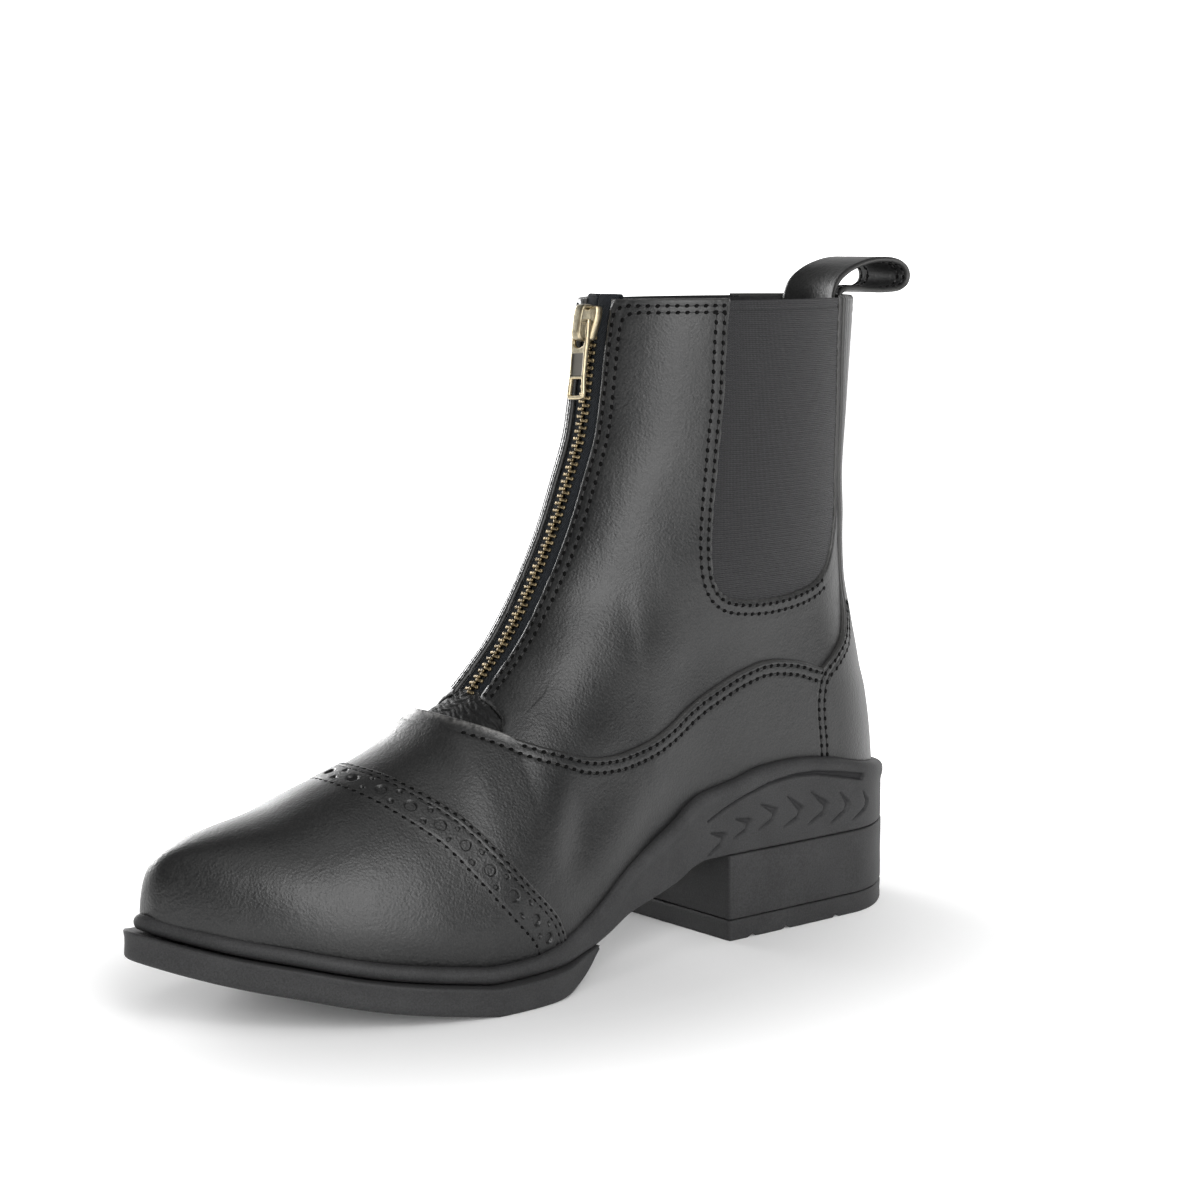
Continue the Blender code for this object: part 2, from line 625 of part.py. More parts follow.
def vamp(parts, made_of):
    """Lower panel round the foot, from the counter's edge over the instep and back."""
    lowest, highest = share_up(0, CUP_HEIGHT + HEEL_HEIGHT), share_up(0, COUNTER_HEIGHT)
    shares = np.linspace(lowest / 2, highest, SIDE_STEPS)
    edge = counter_turn(shares) + SEAM_TURN

    def low(row):
        return np.maximum(rand_up(row, EDGE_GAP), cap_up(row) + SEAM_SHARE)

    def rear(up):
        return np.interp(up, shares, edge)
    turn = turns()[:SIDE_STEPS + 1]
    spacing = math.pi / SIDE_STEPS
    turn = turn[turn > edge.min() - spacing]
    return overlay("vamp", turn, low, foxing_up, rear, parts, made_of)


def heel_counter(parts, made_of):
    """Leather round the back of the heel, between the rubber and its level top."""
    share = np.linspace(0, 1, 9)
    top = share_up(0, COUNTER_HEIGHT)
    edge = np.zeros(9)
    for _ in range(4):
        low = rand_up(edge, EDGE_GAP)
        edge = counter_turn(low + (top - low) * share)
    spread = np.linspace(-1, 1, 17)
    turn = edge[:, None] * spread
    low = np.array([rand_up(np.abs(row), EDGE_GAP) for row in turn])
    up = low + (top - low) * share[:, None]
    return sheet("heel_counter", upper_at(turn, up, OVERLAY_GAP), OVERLAY, made_of, parts)


def share_up(x, z):
    """Share of the way up from the feather line at a point of the side view."""
    return (z - feather(x)) / (SHAFT_HEIGHT - feather(x))


def zip_tape(name, near, far, parts, made_of):
    """One half of the zip's cloth, let into the slit below the leather's face."""
    up = np.linspace(share_up(INSTEP_X, INSTEP_HEIGHT + TAPE_START), 1, 21)
    grid = np.array([upper_at(front_turn(up, across), up, -UPPER_WALL + TAPE_THICKNESS + GAP)
                     for across in np.linspace(near, far, 3)])
    return sheet(name, grid.transpose(1, 0, 2), TAPE_THICKNESS, made_of, parts, side=-1)


def zip_chain(parts, made_of):
    """Closed teeth, as one ribbed band down the middle of the tapes."""
    slider_foot = SHAFT_HEIGHT - SLIDER_DROP - SLIDER_LENGTH / 2 - 2 * GAP
    low = share_up(INSTEP_X, INSTEP_HEIGHT + CHAIN_START)
    high = share_up(COLLAR_FRONT, slider_foot)
    ends = upper_raw(np.full(FINE_STEPS, math.pi), low + (high - low) * STEPS)
    length = np.append(0, np.cumsum(np.linalg.norm(np.diff(ends, axis=0), axis=1)))
    count = int(length[-1] / TOOTH_PITCH)
    at = np.linspace(0, length[-1], 2 * count + 1)
    up = low + (high - low) * np.interp(at, length, STEPS)
    raised = TOOTH_RISE * (np.arange(2 * count + 1) % 2)
    tape_face = -UPPER_WALL + TAPE_THICKNESS + GAP
    lift = tape_face + CHAIN_GAP + CHAIN_THICKNESS + raised
    grid = np.array([upper_at(front_turn(up, across), up, lift)
                     for across in np.linspace(CHAIN_WIDTH / 2, -CHAIN_WIDTH / 2, 3)])
    return sheet("zip_chain", grid.transpose(1, 0, 2), CHAIN_THICKNESS, made_of, parts, side=-1, even=False)


def slider_place():
    """Middle of the slider on the zip's face, and how far the zip leans back there."""
    middle = SHAFT_HEIGHT - SLIDER_DROP
    shares = share_up(COLLAR_FRONT, middle + SLIDER_LENGTH / 3 * np.array([-1, 0, 1]))
    low, here, high = upper_at(np.full(3, math.pi), shares, -UPPER_WALL + TAPE_THICKNESS + GAP)
    lean = math.atan2(low[0] - high[0], high[2] - low[2])
    return Vector(here - (HEEL_REST, 0, 0)), lean


def flat_outline(name, outline, thickness, along):
    """Mesh of a flat outline with holes, a 2D curve given its thickness and then turned."""
    curve = bpy.data.curves.new(name, "CURVE")
    curve.dimensions = "2D"
    curve.fill_mode = "BOTH"
    curve.extrude = thickness / 2
    for loop in outline:
        spline = curve.splines.new("POLY")
        spline.points.add(len(loop) - 1)
        for point, (x, y) in zip(spline.points, loop):
            point.co = (x, y, 0, 1)
        spline.use_cyclic_u = True
    holder = bpy.data.objects.new(name, curve)
    bpy.context.scene.collection.objects.link(holder)
    bpy.context.view_layer.update()
    mesh = bpy.data.meshes.new_from_object(holder.evaluated_get(bpy.context.evaluated_depsgraph_get()))
    bpy.data.objects.remove(holder)
    bpy.data.curves.remove(curve)
    shape = bmesh.new()
    shape.from_mesh(mesh)
    bmesh.ops.remove_doubles(shape, verts=shape.verts, dist=1e-6)
    shape.transform(along)
    bmesh.ops.recalc_face_normals(shape, faces=shape.faces)
    shape.to_mesh(mesh)
    shape.free()
    return mesh


def rounded_box(width, height, corner, steps=3):
    """Corner points of a rectangle with round corners, about the middle."""
    points = []
    for quarter in range(4):
        middle_x = (width / 2 - corner) * (1 if quarter in (0, 3) else -1)
        middle_y = (height / 2 - corner) * (1 if quarter in (0, 1) else -1)
        for step in range(steps + 1):
            angle = math.pi / 2 * (quarter + step / steps)
            points.append((middle_x + corner * math.cos(angle), middle_y + corner * math.sin(angle)))
    return points


FLAT_TO_FRONT = Matrix(((0, 0, 1, 0), (1, 0, 0, 0), (0, 1, 0, 0), (0, 0, 0, 1)))
FLAT_TO_SIDE = Matrix(((1, 0, 0, 0), (0, 0, -1, 0), (0, 1, 0, 0), (0, 0, 0, 1)))


def both_sides(rows, half, length):
    """Outline from its right half: down the right side and back up the left."""
    right = [(across * half, along * length) for across, along in rows]
    return right + [(-x, y) for x, y in reversed(right)]


def zip_slider(parts, made_of):
    """Slider body with the bridge that carries the puller."""
    place, lean = slider_place()
    shield = both_sides(zip(SHIELD["across"], SHIELD["along"]), SLIDER_WIDTH / 2, SLIDER_LENGTH / 2)
    body = flat_outline("zip_slider", [shield], SLIDER_THICKNESS, Matrix.Translation(
        (GAP + SLIDER_THICKNESS / 2, 0, 0)) @ FLAT_TO_FRONT)
    piece = finish("zip_slider", body, made_of, parts)
    piece.location = place
    piece.rotation_euler = (0, -lean, 0)
    foot = GAP + SLIDER_THICKNESS / 2
    crown = GAP + SLIDER_THICKNESS + PULLER_THICKNESS + 2 * BRIDGE_PLAY
    leg = BRIDGE_THICKNESS
    half = BRIDGE_REACH / 2
    outside = [(foot, BRIDGE_REACH), (crown, BRIDGE_REACH), (crown + leg, half)]
    inside = [(crown, half), (crown - leg / 3, BRIDGE_REACH - leg), (foot, BRIDGE_REACH - leg)]
    arch = ([(x, -z) for x, z in outside] + outside[::-1] + inside[::-1] + [(x, -z) for x, z in inside])
    bridge = bpy.data.objects.new("zip_bridge", flat_outline(
        "zip_bridge", [arch], BRIDGE_WIDTH, FLAT_TO_SIDE))
    bridge.location = place
    bridge.rotation_euler = piece.rotation_euler
    bridge.hide_render = True
    bridge.display_type = "WIRE"
    joined = piece.modifiers.new("bridge", "BOOLEAN")
    joined.operation = "UNION"
    joined.object = bridge
    return bridge


def zip_puller(parts, made_of):
    """Pull tab: a bar under the bridge, two arms, a plate and an open end."""
    place, lean = slider_place()
    out = GAP + SLIDER_THICKNESS + BRIDGE_PLAY + PULLER_THICKNESS / 2
    half, bar = PULLER_WIDTH / 2, PULLER_THICKNESS
    end = bar / 2 - PULLER_LENGTH
    foot = both_sides(zip(TAB_FOOT["across"], TAB_FOOT["down"]), half, end)
    outer = [(-half, -PULLER_SLOT), (-half, bar / 2), (half, bar / 2), (half, -PULLER_SLOT), *foot]
    inner = BRIDGE_WIDTH / 2 + 2 * BRIDGE_PLAY
    hole = [(-inner, -bar / 2), (inner, -bar / 2), (inner, -PULLER_SLOT), (-inner, -PULLER_SLOT)]
    middle, low = TAB_FOOT["across"][[0, -1]] * half - PULLER_RIM
    window = both_sides([(middle, end * WINDOW_TOP), (low, end + PULLER_RIM)], 1, 1)
    mesh = flat_outline("zip_puller", [outer, hole, window], PULLER_THICKNESS, FLAT_TO_FRONT)
    piece = finish("zip_puller", mesh, made_of, parts)
    normal = Vector((math.cos(lean), 0, math.sin(lean)))
    piece.location = place + normal * out
    piece.rotation_euler = (math.radians(PULLER_SKEW_DEG), -math.radians(PULLER_HANG_DEG), 0)
    return piece


def pull_loop(parts, made_of):
    """Leather strap sewn inside the back of the collar at both ends, folded over behind it."""
    rows = np.linspace(0, 1, len(LOOP_FOLDS["behind"]))
    share = np.linspace(0, 1, 2 * len(rows) - 1)[:, None]
    across = LOOP_WIDTH / 2 * np.linspace(-1, 1, 5)
    half_length = COLLAR_LENGTH / 2
    bend = half_length * (1 - np.sqrt(1 - (across / (COLLAR_WIDTH / 2)) ** 2))
    straight = ease(share, 0.08, 0.35) * (1 - ease(share, 0.70, 0.85))
    z = SHAFT_HEIGHT + LOOP_RISE * smooth(share, rows, LOOP_FOLDS["above"])
    wall = back_line(np.minimum(z, SHAFT_HEIGHT)) + bend * (1 - straight)
    x = wall - LOOP_REACH * smooth(share, rows, LOOP_FOLDS["behind"])
    grid = np.stack(np.broadcast_arrays(x, across, z), -1)
    return sheet("pull_loop", grid, LOOP_THICKNESS, made_of, parts, side=0)


def moulded_unit(parts, made_of):
    """Rubber bead, waist and heel cup, with the seat that the upper stands on."""
    def inset(x):
        return CUP_INSET + (BEAD_INSET - CUP_INSET) * ease(x / SOLE_LENGTH, 0.40, 0.62)

    def part_way(share):
        return lambda x: underside(x) + (rand_top(x) - underside(x)) * share
    crest = sole_ring(lambda x: inset(x) + WALL_CREST[0], part_way(WALL_CREST[1]))
    turn = turns()
    mirrored = np.where(turn > math.pi, 2 * math.pi - turn, turn)
    rim = rand_up(mirrored)
    wall = [upper_at(turn, rim * share, GAP) for share in (1.0, 0.66, 0.33, 0.0)]
    seat = wall[-1] - (0, 0, GAP)
    top = crest + (wall[0] - crest) * LIP_REACH
    top[:, 2] = rand_top(top[:, 0])
    rings = [sole_ring(lambda x: inset(x) + WALL_FOOT, underside),
             sole_ring(lambda x: inset(x) + WALL_LOW[0], part_way(WALL_LOW[1])),
             sole_ring(inset, part_way(0.5)), crest, top, *wall, seat]
    return stack("sole_unit", rings, made_of, parts)


def outsole_plate(parts, made_of):
    """Tread plate under ball and toe, with an S-shaped tail at the waist."""
    tail = math.acos(1 - 2 * TAIL_LINE["along"][0])
    half = np.linspace(tail, math.pi, SIDE_STEPS + 8)
    turn = np.append(half, 2 * math.pi - half[-2::-1])
    x = SOLE_LENGTH * (1 - np.cos(turn)) / 2
    outer, inner = sides_of_sole(x / SOLE_LENGTH)
    y = np.where(turn <= math.pi, outer, inner)
    low = np.stack([x, y, plate_bottom(x)], -1)
    high = np.stack([x, y, underside(x) - GAP], -1)
    count = len(x)
    faces = [(i, count + i, count + (i + 1) % count, (i + 1) % count) for i in range(count)]
    for i in range(count // 2):
        across = [i, i + 1, count - 2 - i, count - 1 - i]
        faces.append(tuple(dict.fromkeys(across)))
        faces.append(tuple(count + k for k in dict.fromkeys(reversed(across))))
    return finish("outsole_plate", mesh_from("outsole_plate", np.vstack([low, high]), faces),
                  made_of, parts)


def heel_outline(inset):
    """D-shaped plan of the heel, flat at the breast."""
    ring = sole_ring(inset, underside)
    inside = ring[ring[:, 0] < HEEL_LENGTH - EDGE_GAP]
    order = np.argsort(np.arctan2(inside[:, 1], HEEL_LENGTH - inside[:, 0]))
    inside = inside[order]
    low = np.array([HEEL_LENGTH, inside[0, 1]])
    high = np.array([HEEL_LENGTH, inside[-1, 1]])
    return [low, *inside[:, :2], high]


def slab(name, outline, low, high, made_of, parts):
    count = len(outline)
    points = [(x, y, z) for z in (low, high) for x, y in outline]
    faces = [tuple(range(count)), tuple(range(2 * count - 1, count - 1, -1))]
    faces += [(i, count + i, count + (i + 1) % count, (i + 1) % count) for i in range(count)]
    return finish(name, mesh_from(name, points, faces), made_of, parts)


def heel_pieces(parts, cutters, made_of, lift_of):
    """Heel block and, under it, the top lift with its tread grooves."""
    outline = heel_outline(CUP_INSET)
    slab("heel_block", outline, TOP_LIFT_HEIGHT + GAP, HEEL_HEIGHT - GAP, made_of, parts)
    lift = slab("top_lift", outline, 0.0, TOP_LIFT_HEIGHT, lift_of, parts)
    for number, share in enumerate(GROOVES):
        middle = share * HEEL_LENGTH
        notch = [(middle - GROOVE_WIDTH / 2, -GROOVE_DEPTH), (middle + GROOVE_WIDTH / 2, -GROOVE_DEPTH),
                 (middle + GROOVE_WIDTH / 2, 0.0), (middle, GROOVE_DEPTH), (middle - GROOVE_WIDTH / 2, 0.0)]
        cutter = prism(f"groove_{number + 1}", notch, -BALL_WIDTH, BALL_WIDTH, cutters)
        cut = lift.modifiers.new(cutter.name, "BOOLEAN")
        cut.operation = "DIFFERENCE"
        cut.object = cutter


def insole(parts, made_of):
    """Sock lining on the seat, inside the upper's wall."""
    turn = turns()
    share = INSOLE_THICKNESS / (SHAFT_HEIGHT - HEEL_HEIGHT)
    rings = [upper_at(turn, share * level, -UPPER_WALL - GAP) for level in (0.0, 1.0)]
    return stack("insole", rings, made_of, parts)


def build():
    for old in list(bpy.data.objects):
        bpy.data.objects.remove(old)
    parts = bpy.data.collections.new(BOOT)
    cutters = bpy.data.collections.new("cutters")
    bpy.context.scene.collection.children.link(parts)
    bpy.context.scene.collection.children.link(cutters)

    leather = material("black_leather", (0.025, 0.024, 0.023), 0.42)
    panel = material("black_panel_leather", (0.022, 0.021, 0.020), 0.40)
    lining = material("insole_leather", (0.045, 0.040, 0.036), 0.75)
    strap = material("strap_leather", (0.020, 0.019, 0.018), 0.55)
    elastic = material("charcoal_elastic", (0.030, 0.030, 0.031), 0.85)
    cloth = material("zip_cloth", (0.010, 0.012, 0.016), 0.80)
    brass = material("antique_brass", (0.42, 0.33, 0.20), 0.38, 1.0)
    nickel = material("dark_metal", (0.10, 0.095, 0.09), 0.40, 1.0)
    rubber = material("black_rubber", (0.040, 0.040, 0.040), 0.70)
    tread = material("tread_rubber", (0.036, 0.036, 0.036), 0.75)

    leather_upper(parts, [gore_cutter(cutters), slit_cutter(cutters)], leather)
    moulded_unit(parts, rubber)
    outsole_plate(parts, tread)
    heel_pieces(parts, cutters, rubber, tread)
    insole(parts, lining)
    toe_cap(parts, panel)
    vamp(parts, panel)
    heel_counter(parts, panel)
    gore("gore_outer", True, parts, elastic)
    gore("gore_inner", False, parts, elastic)
    zip_tape("zip_tape_left", ZIP_SLIT / 2 - GAP, GAP, parts, cloth)
    zip_tape("zip_tape_right", -GAP, GAP - ZIP_SLIT / 2, parts, cloth)
    zip_chain(parts, brass)
    cutters.objects.link(zip_slider(parts, nickel))
    zip_puller(parts, nickel)
    pull_loop(parts, strap)


build()
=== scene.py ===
import math

import bpy
import numpy as np
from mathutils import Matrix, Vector


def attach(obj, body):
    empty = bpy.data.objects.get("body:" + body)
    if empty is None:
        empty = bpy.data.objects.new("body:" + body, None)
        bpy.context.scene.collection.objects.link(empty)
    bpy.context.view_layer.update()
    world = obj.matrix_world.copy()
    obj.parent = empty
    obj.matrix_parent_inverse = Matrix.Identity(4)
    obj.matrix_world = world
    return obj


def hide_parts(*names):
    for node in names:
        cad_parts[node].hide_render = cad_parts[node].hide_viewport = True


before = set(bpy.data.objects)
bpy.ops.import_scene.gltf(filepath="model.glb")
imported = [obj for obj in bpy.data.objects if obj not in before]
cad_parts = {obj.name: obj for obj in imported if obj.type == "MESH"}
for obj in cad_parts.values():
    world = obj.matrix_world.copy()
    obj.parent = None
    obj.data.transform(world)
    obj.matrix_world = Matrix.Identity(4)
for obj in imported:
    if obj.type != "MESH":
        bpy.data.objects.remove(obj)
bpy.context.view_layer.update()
print("frame loaded:", ", ".join(sorted(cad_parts)))


def table(names, *rows):
    return dict(zip(names.split(), np.array(rows, float).T))


# the boot's own sizes in metres; tables hold shares of them

boot = dict(soleLength=0.282, ballWidth=0.098, shaftHeight=0.204, collarLength=0.103, collarWidth=0.066,
            instepHeight=0.0845, instepAlong=0.600, backLean=0.0175, heelHeight=0.0282, heelLength=0.088,
            topLift=0.0067, plate=0.0085, toeSpring=0.020, bead=0.0047, cup=0.0273, heelRest=0.050,
            gap=0.0003, upperShare=0.885, toeAlong=0.973, beadInset=0.0030, cupInset=0.0008,
            seatAtBall=0.0018, seatAtHeel=0.0045, zipSlit=0.0130, leg=(0.40, 0.63))
outline = table(
    "along outer inner",
    (0.00, 0.000, 0.000), (0.03, 0.225, -0.220), (0.11, 0.333, -0.325), (0.21, 0.338, -0.330),
    (0.32, 0.338, -0.318), (0.43, 0.380, -0.330), (0.54, 0.465, -0.380), (0.61, 0.520, -0.420),
    (0.67, 0.530, -0.450), (0.74, 0.500, -0.455), (0.81, 0.430, -0.435), (0.885, 0.310, -0.378),
    (0.94, 0.175, -0.295), (0.98, 0.035, -0.185), (1.00, -0.085, -0.085))
ridgeLine = table("along across", (0.0, 0.0), (0.62, 0.0), (0.75, -0.012), (0.85, -0.035),
                  (0.92, -0.058), (1.0, -0.085))
waistLine = table("along drop", (0.0, 1.0), (0.345, 1.0), (0.365, 0.95), (0.396, 0.77), (0.443, 0.60),
                  (0.476, 0.50), (0.515, 0.27), (0.535, 0.17), (0.557, 0.10), (0.59, 0.02), (0.63, 0.0))
springLine = table("along lift", (0.69, 0.0), (0.746, 0.12), (0.80, 0.245), (0.843, 0.38), (0.884, 0.53),
                   (0.921, 0.65), (0.968, 0.84), (1.0, 1.0))
tailLine = table("along lift", (0.531, 0.93), (0.539, 0.78), (0.55, 0.52), (0.571, 0.24), (0.596, 0.04),
                 (0.615, 0.0))
randLine = table("along rise", (0.0, 0.59), (0.03, 0.64), (0.098, 0.79), (0.154, 0.94), (0.206, 1.0),
                 (0.254, 0.973), (0.302, 0.84), (0.355, 0.725), (0.43, 0.55), (0.489, 0.367),
                 (0.554, 0.18), (0.60, 0.075), (0.632, 0.01), (0.66, 0.0))
backLine = table("up lean", (0.0, 0.20), (0.16, 0.24), (0.275, 0.36), (0.353, 0.53), (0.407, 0.73),
                 (0.51, 0.91), (0.64, 0.93), (0.72, 1.0), (0.83, 0.94), (1.0, 0.83))
frontLine = table("up forward", (0.0, 1.0), (0.064, 0.854), (0.149, 0.680), (0.274, 0.502), (0.40, 0.350),
                  (0.529, 0.230), (0.657, 0.126), (0.878, 0.049), (1.0, 0.0))
vampLine = table("along up", (0.0, 1.0), (0.131, 0.93), (0.219, 0.85), (0.41, 0.757), (0.519, 0.71),
                 (0.648, 0.65), (0.783, 0.615), (0.907, 0.575), (0.964, 0.535), (0.99, 0.46))
shaftWidths = table("up width", (0.3, 0.94), (0.5, 0.93), (0.7, 0.95), (0.85, 0.97), (1.0, 1.0))
sections = table("along power", (0.3, 1.9), (0.588, 1.7), (0.7, 1.9), (0.85, 2.4), (1.0, 3.0))
footCrown = table("along power", (0.3, 0.5), (0.5, 0.44), (0.588, 0.42), (0.66, 0.44), (0.75, 0.5))
shaftCrown = table("up power", (0.3, 0.40), (0.45, 0.40), (0.5, 0.42), (0.574, 0.46), (0.65, 0.48),
                   (0.75, 0.5))


def smooth(x, xs, ys):
    # monotone cubic through the rows, level beyond them
    x = np.clip(np.asarray(x, float), xs[0], xs[-1])
    step = np.diff(xs)
    slope = np.diff(ys) / step
    inner = np.zeros(len(xs))
    same = slope[:-1] * slope[1:] > 0
    first, second = step[:-1] + 2 * step[1:], 2 * step[:-1] + step[1:]
    mean = (first + second) / (first / np.where(same, slope[:-1], 1)
                               + second / np.where(same, slope[1:], 1))
    inner[1:-1] = np.where(same, mean, 0)
    inner[0], inner[-1] = slope[0], slope[-1]
    i = np.clip(np.searchsorted(xs, x) - 1, 0, len(step) - 1)
    s = (x - xs[i]) / step[i]
    return (ys[i] * (1 + 2 * s) * (1 - s) ** 2 + ys[i + 1] * s * s * (3 - 2 * s)
            + step[i] * s * (1 - s) * (inner[i] * (1 - s) - inner[i + 1] * s))


def ease(x, low, high):
    # 0 below low, 1 above high, an S between
    s = np.clip((np.asarray(x, float) - low) / (high - low), 0, 1)
    return s * s * (3 - 2 * s)


def bell(x, middle, width):
    # 1 at the middle, fading to 0 about two widths away
    return np.exp(-((np.asarray(x, float) - middle) / width) ** 2)


def unit(v):
    return v / np.maximum(np.linalg.norm(v, axis=-1, keepdims=True), 1e-12)


# sole lines: x is measured from the back of the heel until ringOn() and leather() move it to the row's origin

def soleSides(along):
    # both edges of the outsole, smooth over the half turn so that heel and toe are round
    turn = np.arccos(1 - 2 * np.clip(along, 0, 1))
    rows = np.arccos(1 - 2 * outline["along"])
    return smooth(turn, rows, outline["outer"]) * boot["ballWidth"], smooth(
        turn, rows, outline["inner"]) * boot["ballWidth"]


def underside(x):
    # heel height, falling along the waist to the plate's top, rising with the toe spring
    along = x / boot["soleLength"]
    ball = boot["plate"] + boot["gap"]
    spring = smooth(along, springLine["along"], springLine["lift"]) * boot["toeSpring"]
    return ball + spring + (boot["heelHeight"] - ball) * smooth(along, waistLine["along"], waistLine["drop"])


def plateBottom(x):
    # level under the ball, toe spring ahead of it, an S up to the waist behind it
    along = x / boot["soleLength"]
    spring = smooth(along, springLine["along"], springLine["lift"]) * boot["toeSpring"]
    return spring + (underside(x) - boot["gap"]) * smooth(along, tailLine["along"], tailLine["lift"])


def randTop(x):
    # underside plus the bead's height, growing into the heel cup's
    rise = smooth(x / boot["soleLength"], randLine["along"], randLine["rise"])
    return underside(x) + boot["bead"] + (boot["cup"] - boot["bead"]) * rise


def feather(x):
    # the seat's height, a little above the underside
    heel = 1 - ease(x / boot["soleLength"], 0.45, 0.62)
    return underside(x) + boot["seatAtBall"] + (boot["seatAtHeel"] - boot["seatAtBall"]) * heel


def backAt(z):
    return boot["backLean"] * smooth(z / boot["shaftHeight"], backLine["up"], backLine["lean"])


toeX = boot["toeAlong"] * boot["soleLength"]
instepX = boot["instepAlong"] * boot["soleLength"]
collarFront = float(backAt(boot["shaftHeight"])) + boot["collarLength"]
steps = np.linspace(0, 1, 400)
fineSteps = np.linspace(0, 1, 2400)


def ridgeProfile():
    # side view from the collar's front down the shaft, then along the foot to the toe
    fine = fineSteps
    shaftX = collarFront + (instepX - collarFront) * smooth(fine[::-1], frontLine["up"], frontLine["forward"])
    shaftZ = boot["instepHeight"] + (boot["shaftHeight"] - boot["instepHeight"]) * fine[::-1]
    footUp = np.append(vampLine["up"], feather(toeX) / boot["instepHeight"])
    footZ = boot["instepHeight"] * smooth(fine, np.append(vampLine["along"], 1.0), footUp)
    return np.append(shaftX, (instepX + (toeX - instepX) * fine)[1:]), np.append(shaftZ, footZ[1:])


ridgeX, ridgeZ = ridgeProfile()


def ringEnds():
    # back and front of the upper at each share of the way from feather line to collar
    back = np.zeros_like(fineSteps)
    for _ in range(12):
        back = backAt(feather(back) + (boot["shaftHeight"] - feather(back)) * fineSteps)
    low = feather(ridgeX)[None]
    level = low + (boot["shaftHeight"] - low) * fineSteps[:, None] - ridgeZ[None]
    hit = np.clip(np.argmax(level > 0, axis=1), 1, len(ridgeX) - 1)
    hit = np.where(level.max(1) > 0, hit, len(ridgeX) - 1)
    rows = np.arange(len(fineSteps))
    low, high = level[rows, hit - 1], level[rows, hit]
    share = np.clip(-low / np.where(high - low == 0, 1, high - low), 0, 1)
    return back, ridgeX[hit - 1] + (ridgeX[hit] - ridgeX[hit - 1]) * share


backs, fronts = ringEnds()


def upperY(x, z, outer):
    # across: the foot's section on its plan outline, turning into the shaft's oval higher up
    back = backAt(z)
    along = np.clip((x - back) / (toeX - back), 0, 1)
    edgeOut, edgeIn = soleSides(along)
    edge = np.where(outer, edgeOut, edgeIn)
    middle = smooth(along, ridgeLine["along"], ridgeLine["across"]) * boot["ballWidth"]
    low = feather(x)
    ridge = np.interp(x, ridgeX, ridgeZ) + 4 * np.clip(collarFront - x, 0, None)
    up = np.clip((z - low) / np.maximum(ridge - low, 1e-6), 0, 1)
    power = smooth(along, sections["along"], sections["power"])
    tuck = 1 - 0.07 * np.clip(1 - up / 0.3, 0, 1) ** 2
    crown = smooth(along, footCrown["along"], footCrown["power"])
    foot = middle + (edge - middle) * boot["upperShare"] * tuck * (1 - up ** power) ** crown
    front = np.interp(z, ridgeZ[::-1], ridgeX[::-1])
    u = np.clip((x - back) / (front - back), 0, 1)
    half = boot["collarWidth"] / 2 * smooth(z / boot["shaftHeight"], shaftWidths["up"], shaftWidths["width"])
    crown = smooth(z / boot["shaftHeight"], shaftCrown["up"], shaftCrown["power"])
    oval = np.clip(1 - (2 * u - 1) ** 2, 0, 1) ** np.where(u > 0.5, crown, 0.5)
    shaft = np.where(outer, 1, -1) * half * oval
    return foot + (shaft - foot) * ease(z / boot["shaftHeight"], *boot["leg"])


def upperRaw(turn, up):
    # turn goes once round from the back, up from the feather line to the collar
    back, front = np.interp(up, fineSteps, backs), np.interp(up, fineSteps, fronts)
    x = back + (front - back) * (1 - np.cos(turn)) / 2
    z = feather(x) + (boot["shaftHeight"] - feather(x)) * up
    return np.stack([x, upperY(x, z, np.sin(turn) >= 0), z], -1)


def upperNormal(turn, up, small=0.004):
    aroundIt = upperRaw(turn + small, up) - upperRaw(turn - small, up)
    upIt = upperRaw(turn, np.minimum(up + small, 1)) - upperRaw(turn, np.maximum(up - small, 0))
    return unit(np.cross(upIt, aroundIt))


# soft troughs and ridges worn or pulled into the leather: a line in side view, its width and rise in mm
folds = table(
    "fromX fromZ toX toZ width rise side",
    (92, 66, 118, 24, 8.0, -1.3, 1),
    (108, 68, 134, 28, 9.0, 0.9, 1),
    (70, 62, 96, 26, 10.0, 1.0, 1),
    (122, 74, 146, 46, 8.0, -0.5, 1),
    (84, 68, 114, 74, 11.0, 1.1, 1),
    (60, 110, 100, 118, 12.0, -0.9, 1),
    (55, 92, 96, 100, 12.0, 0.8, 1),
    (30, 98, 60, 84, 9.0, -0.6, 1),
    (48, 150, 62, 128, 10.0, -0.5, 1),
    (98, 60, 126, 30, 9.0, -0.9, -1),
    (76, 56, 100, 32, 9.0, 0.7, -1),
    (58, 112, 98, 116, 12.0, -0.8, -1),
    (34, 96, 62, 86, 9.0, -0.6, -1),
)


def foldRise(points):
    # each fold is a bell across the distance to its line, fading towards its ends, on its own side of the boot
    x = (points[..., 0] - boot["heelRest"]) * 1000
    z = points[..., 2] * 1000
    total = np.zeros_like(x)
    for k in range(len(folds["width"])):
        ax, az = folds["fromX"][k], folds["fromZ"][k]
        dx, dz = folds["toX"][k] - ax, folds["toZ"][k] - az
        along = ((x - ax) * dx + (z - az) * dz) / (dx * dx + dz * dz)
        t = np.clip(along, 0, 1)
        away = np.hypot(x - ax - dx * t, z - az - dz * t)
        here = ease(points[..., 1] * folds["side"][k] * 1000, 4, 22) * ease(along, -0.15, 0.45) * (
            1 - ease(along, 0.55, 1.15))
        total += folds["rise"][k] * bell(away, 0, folds["width"][k]) * here
    return total / 1000


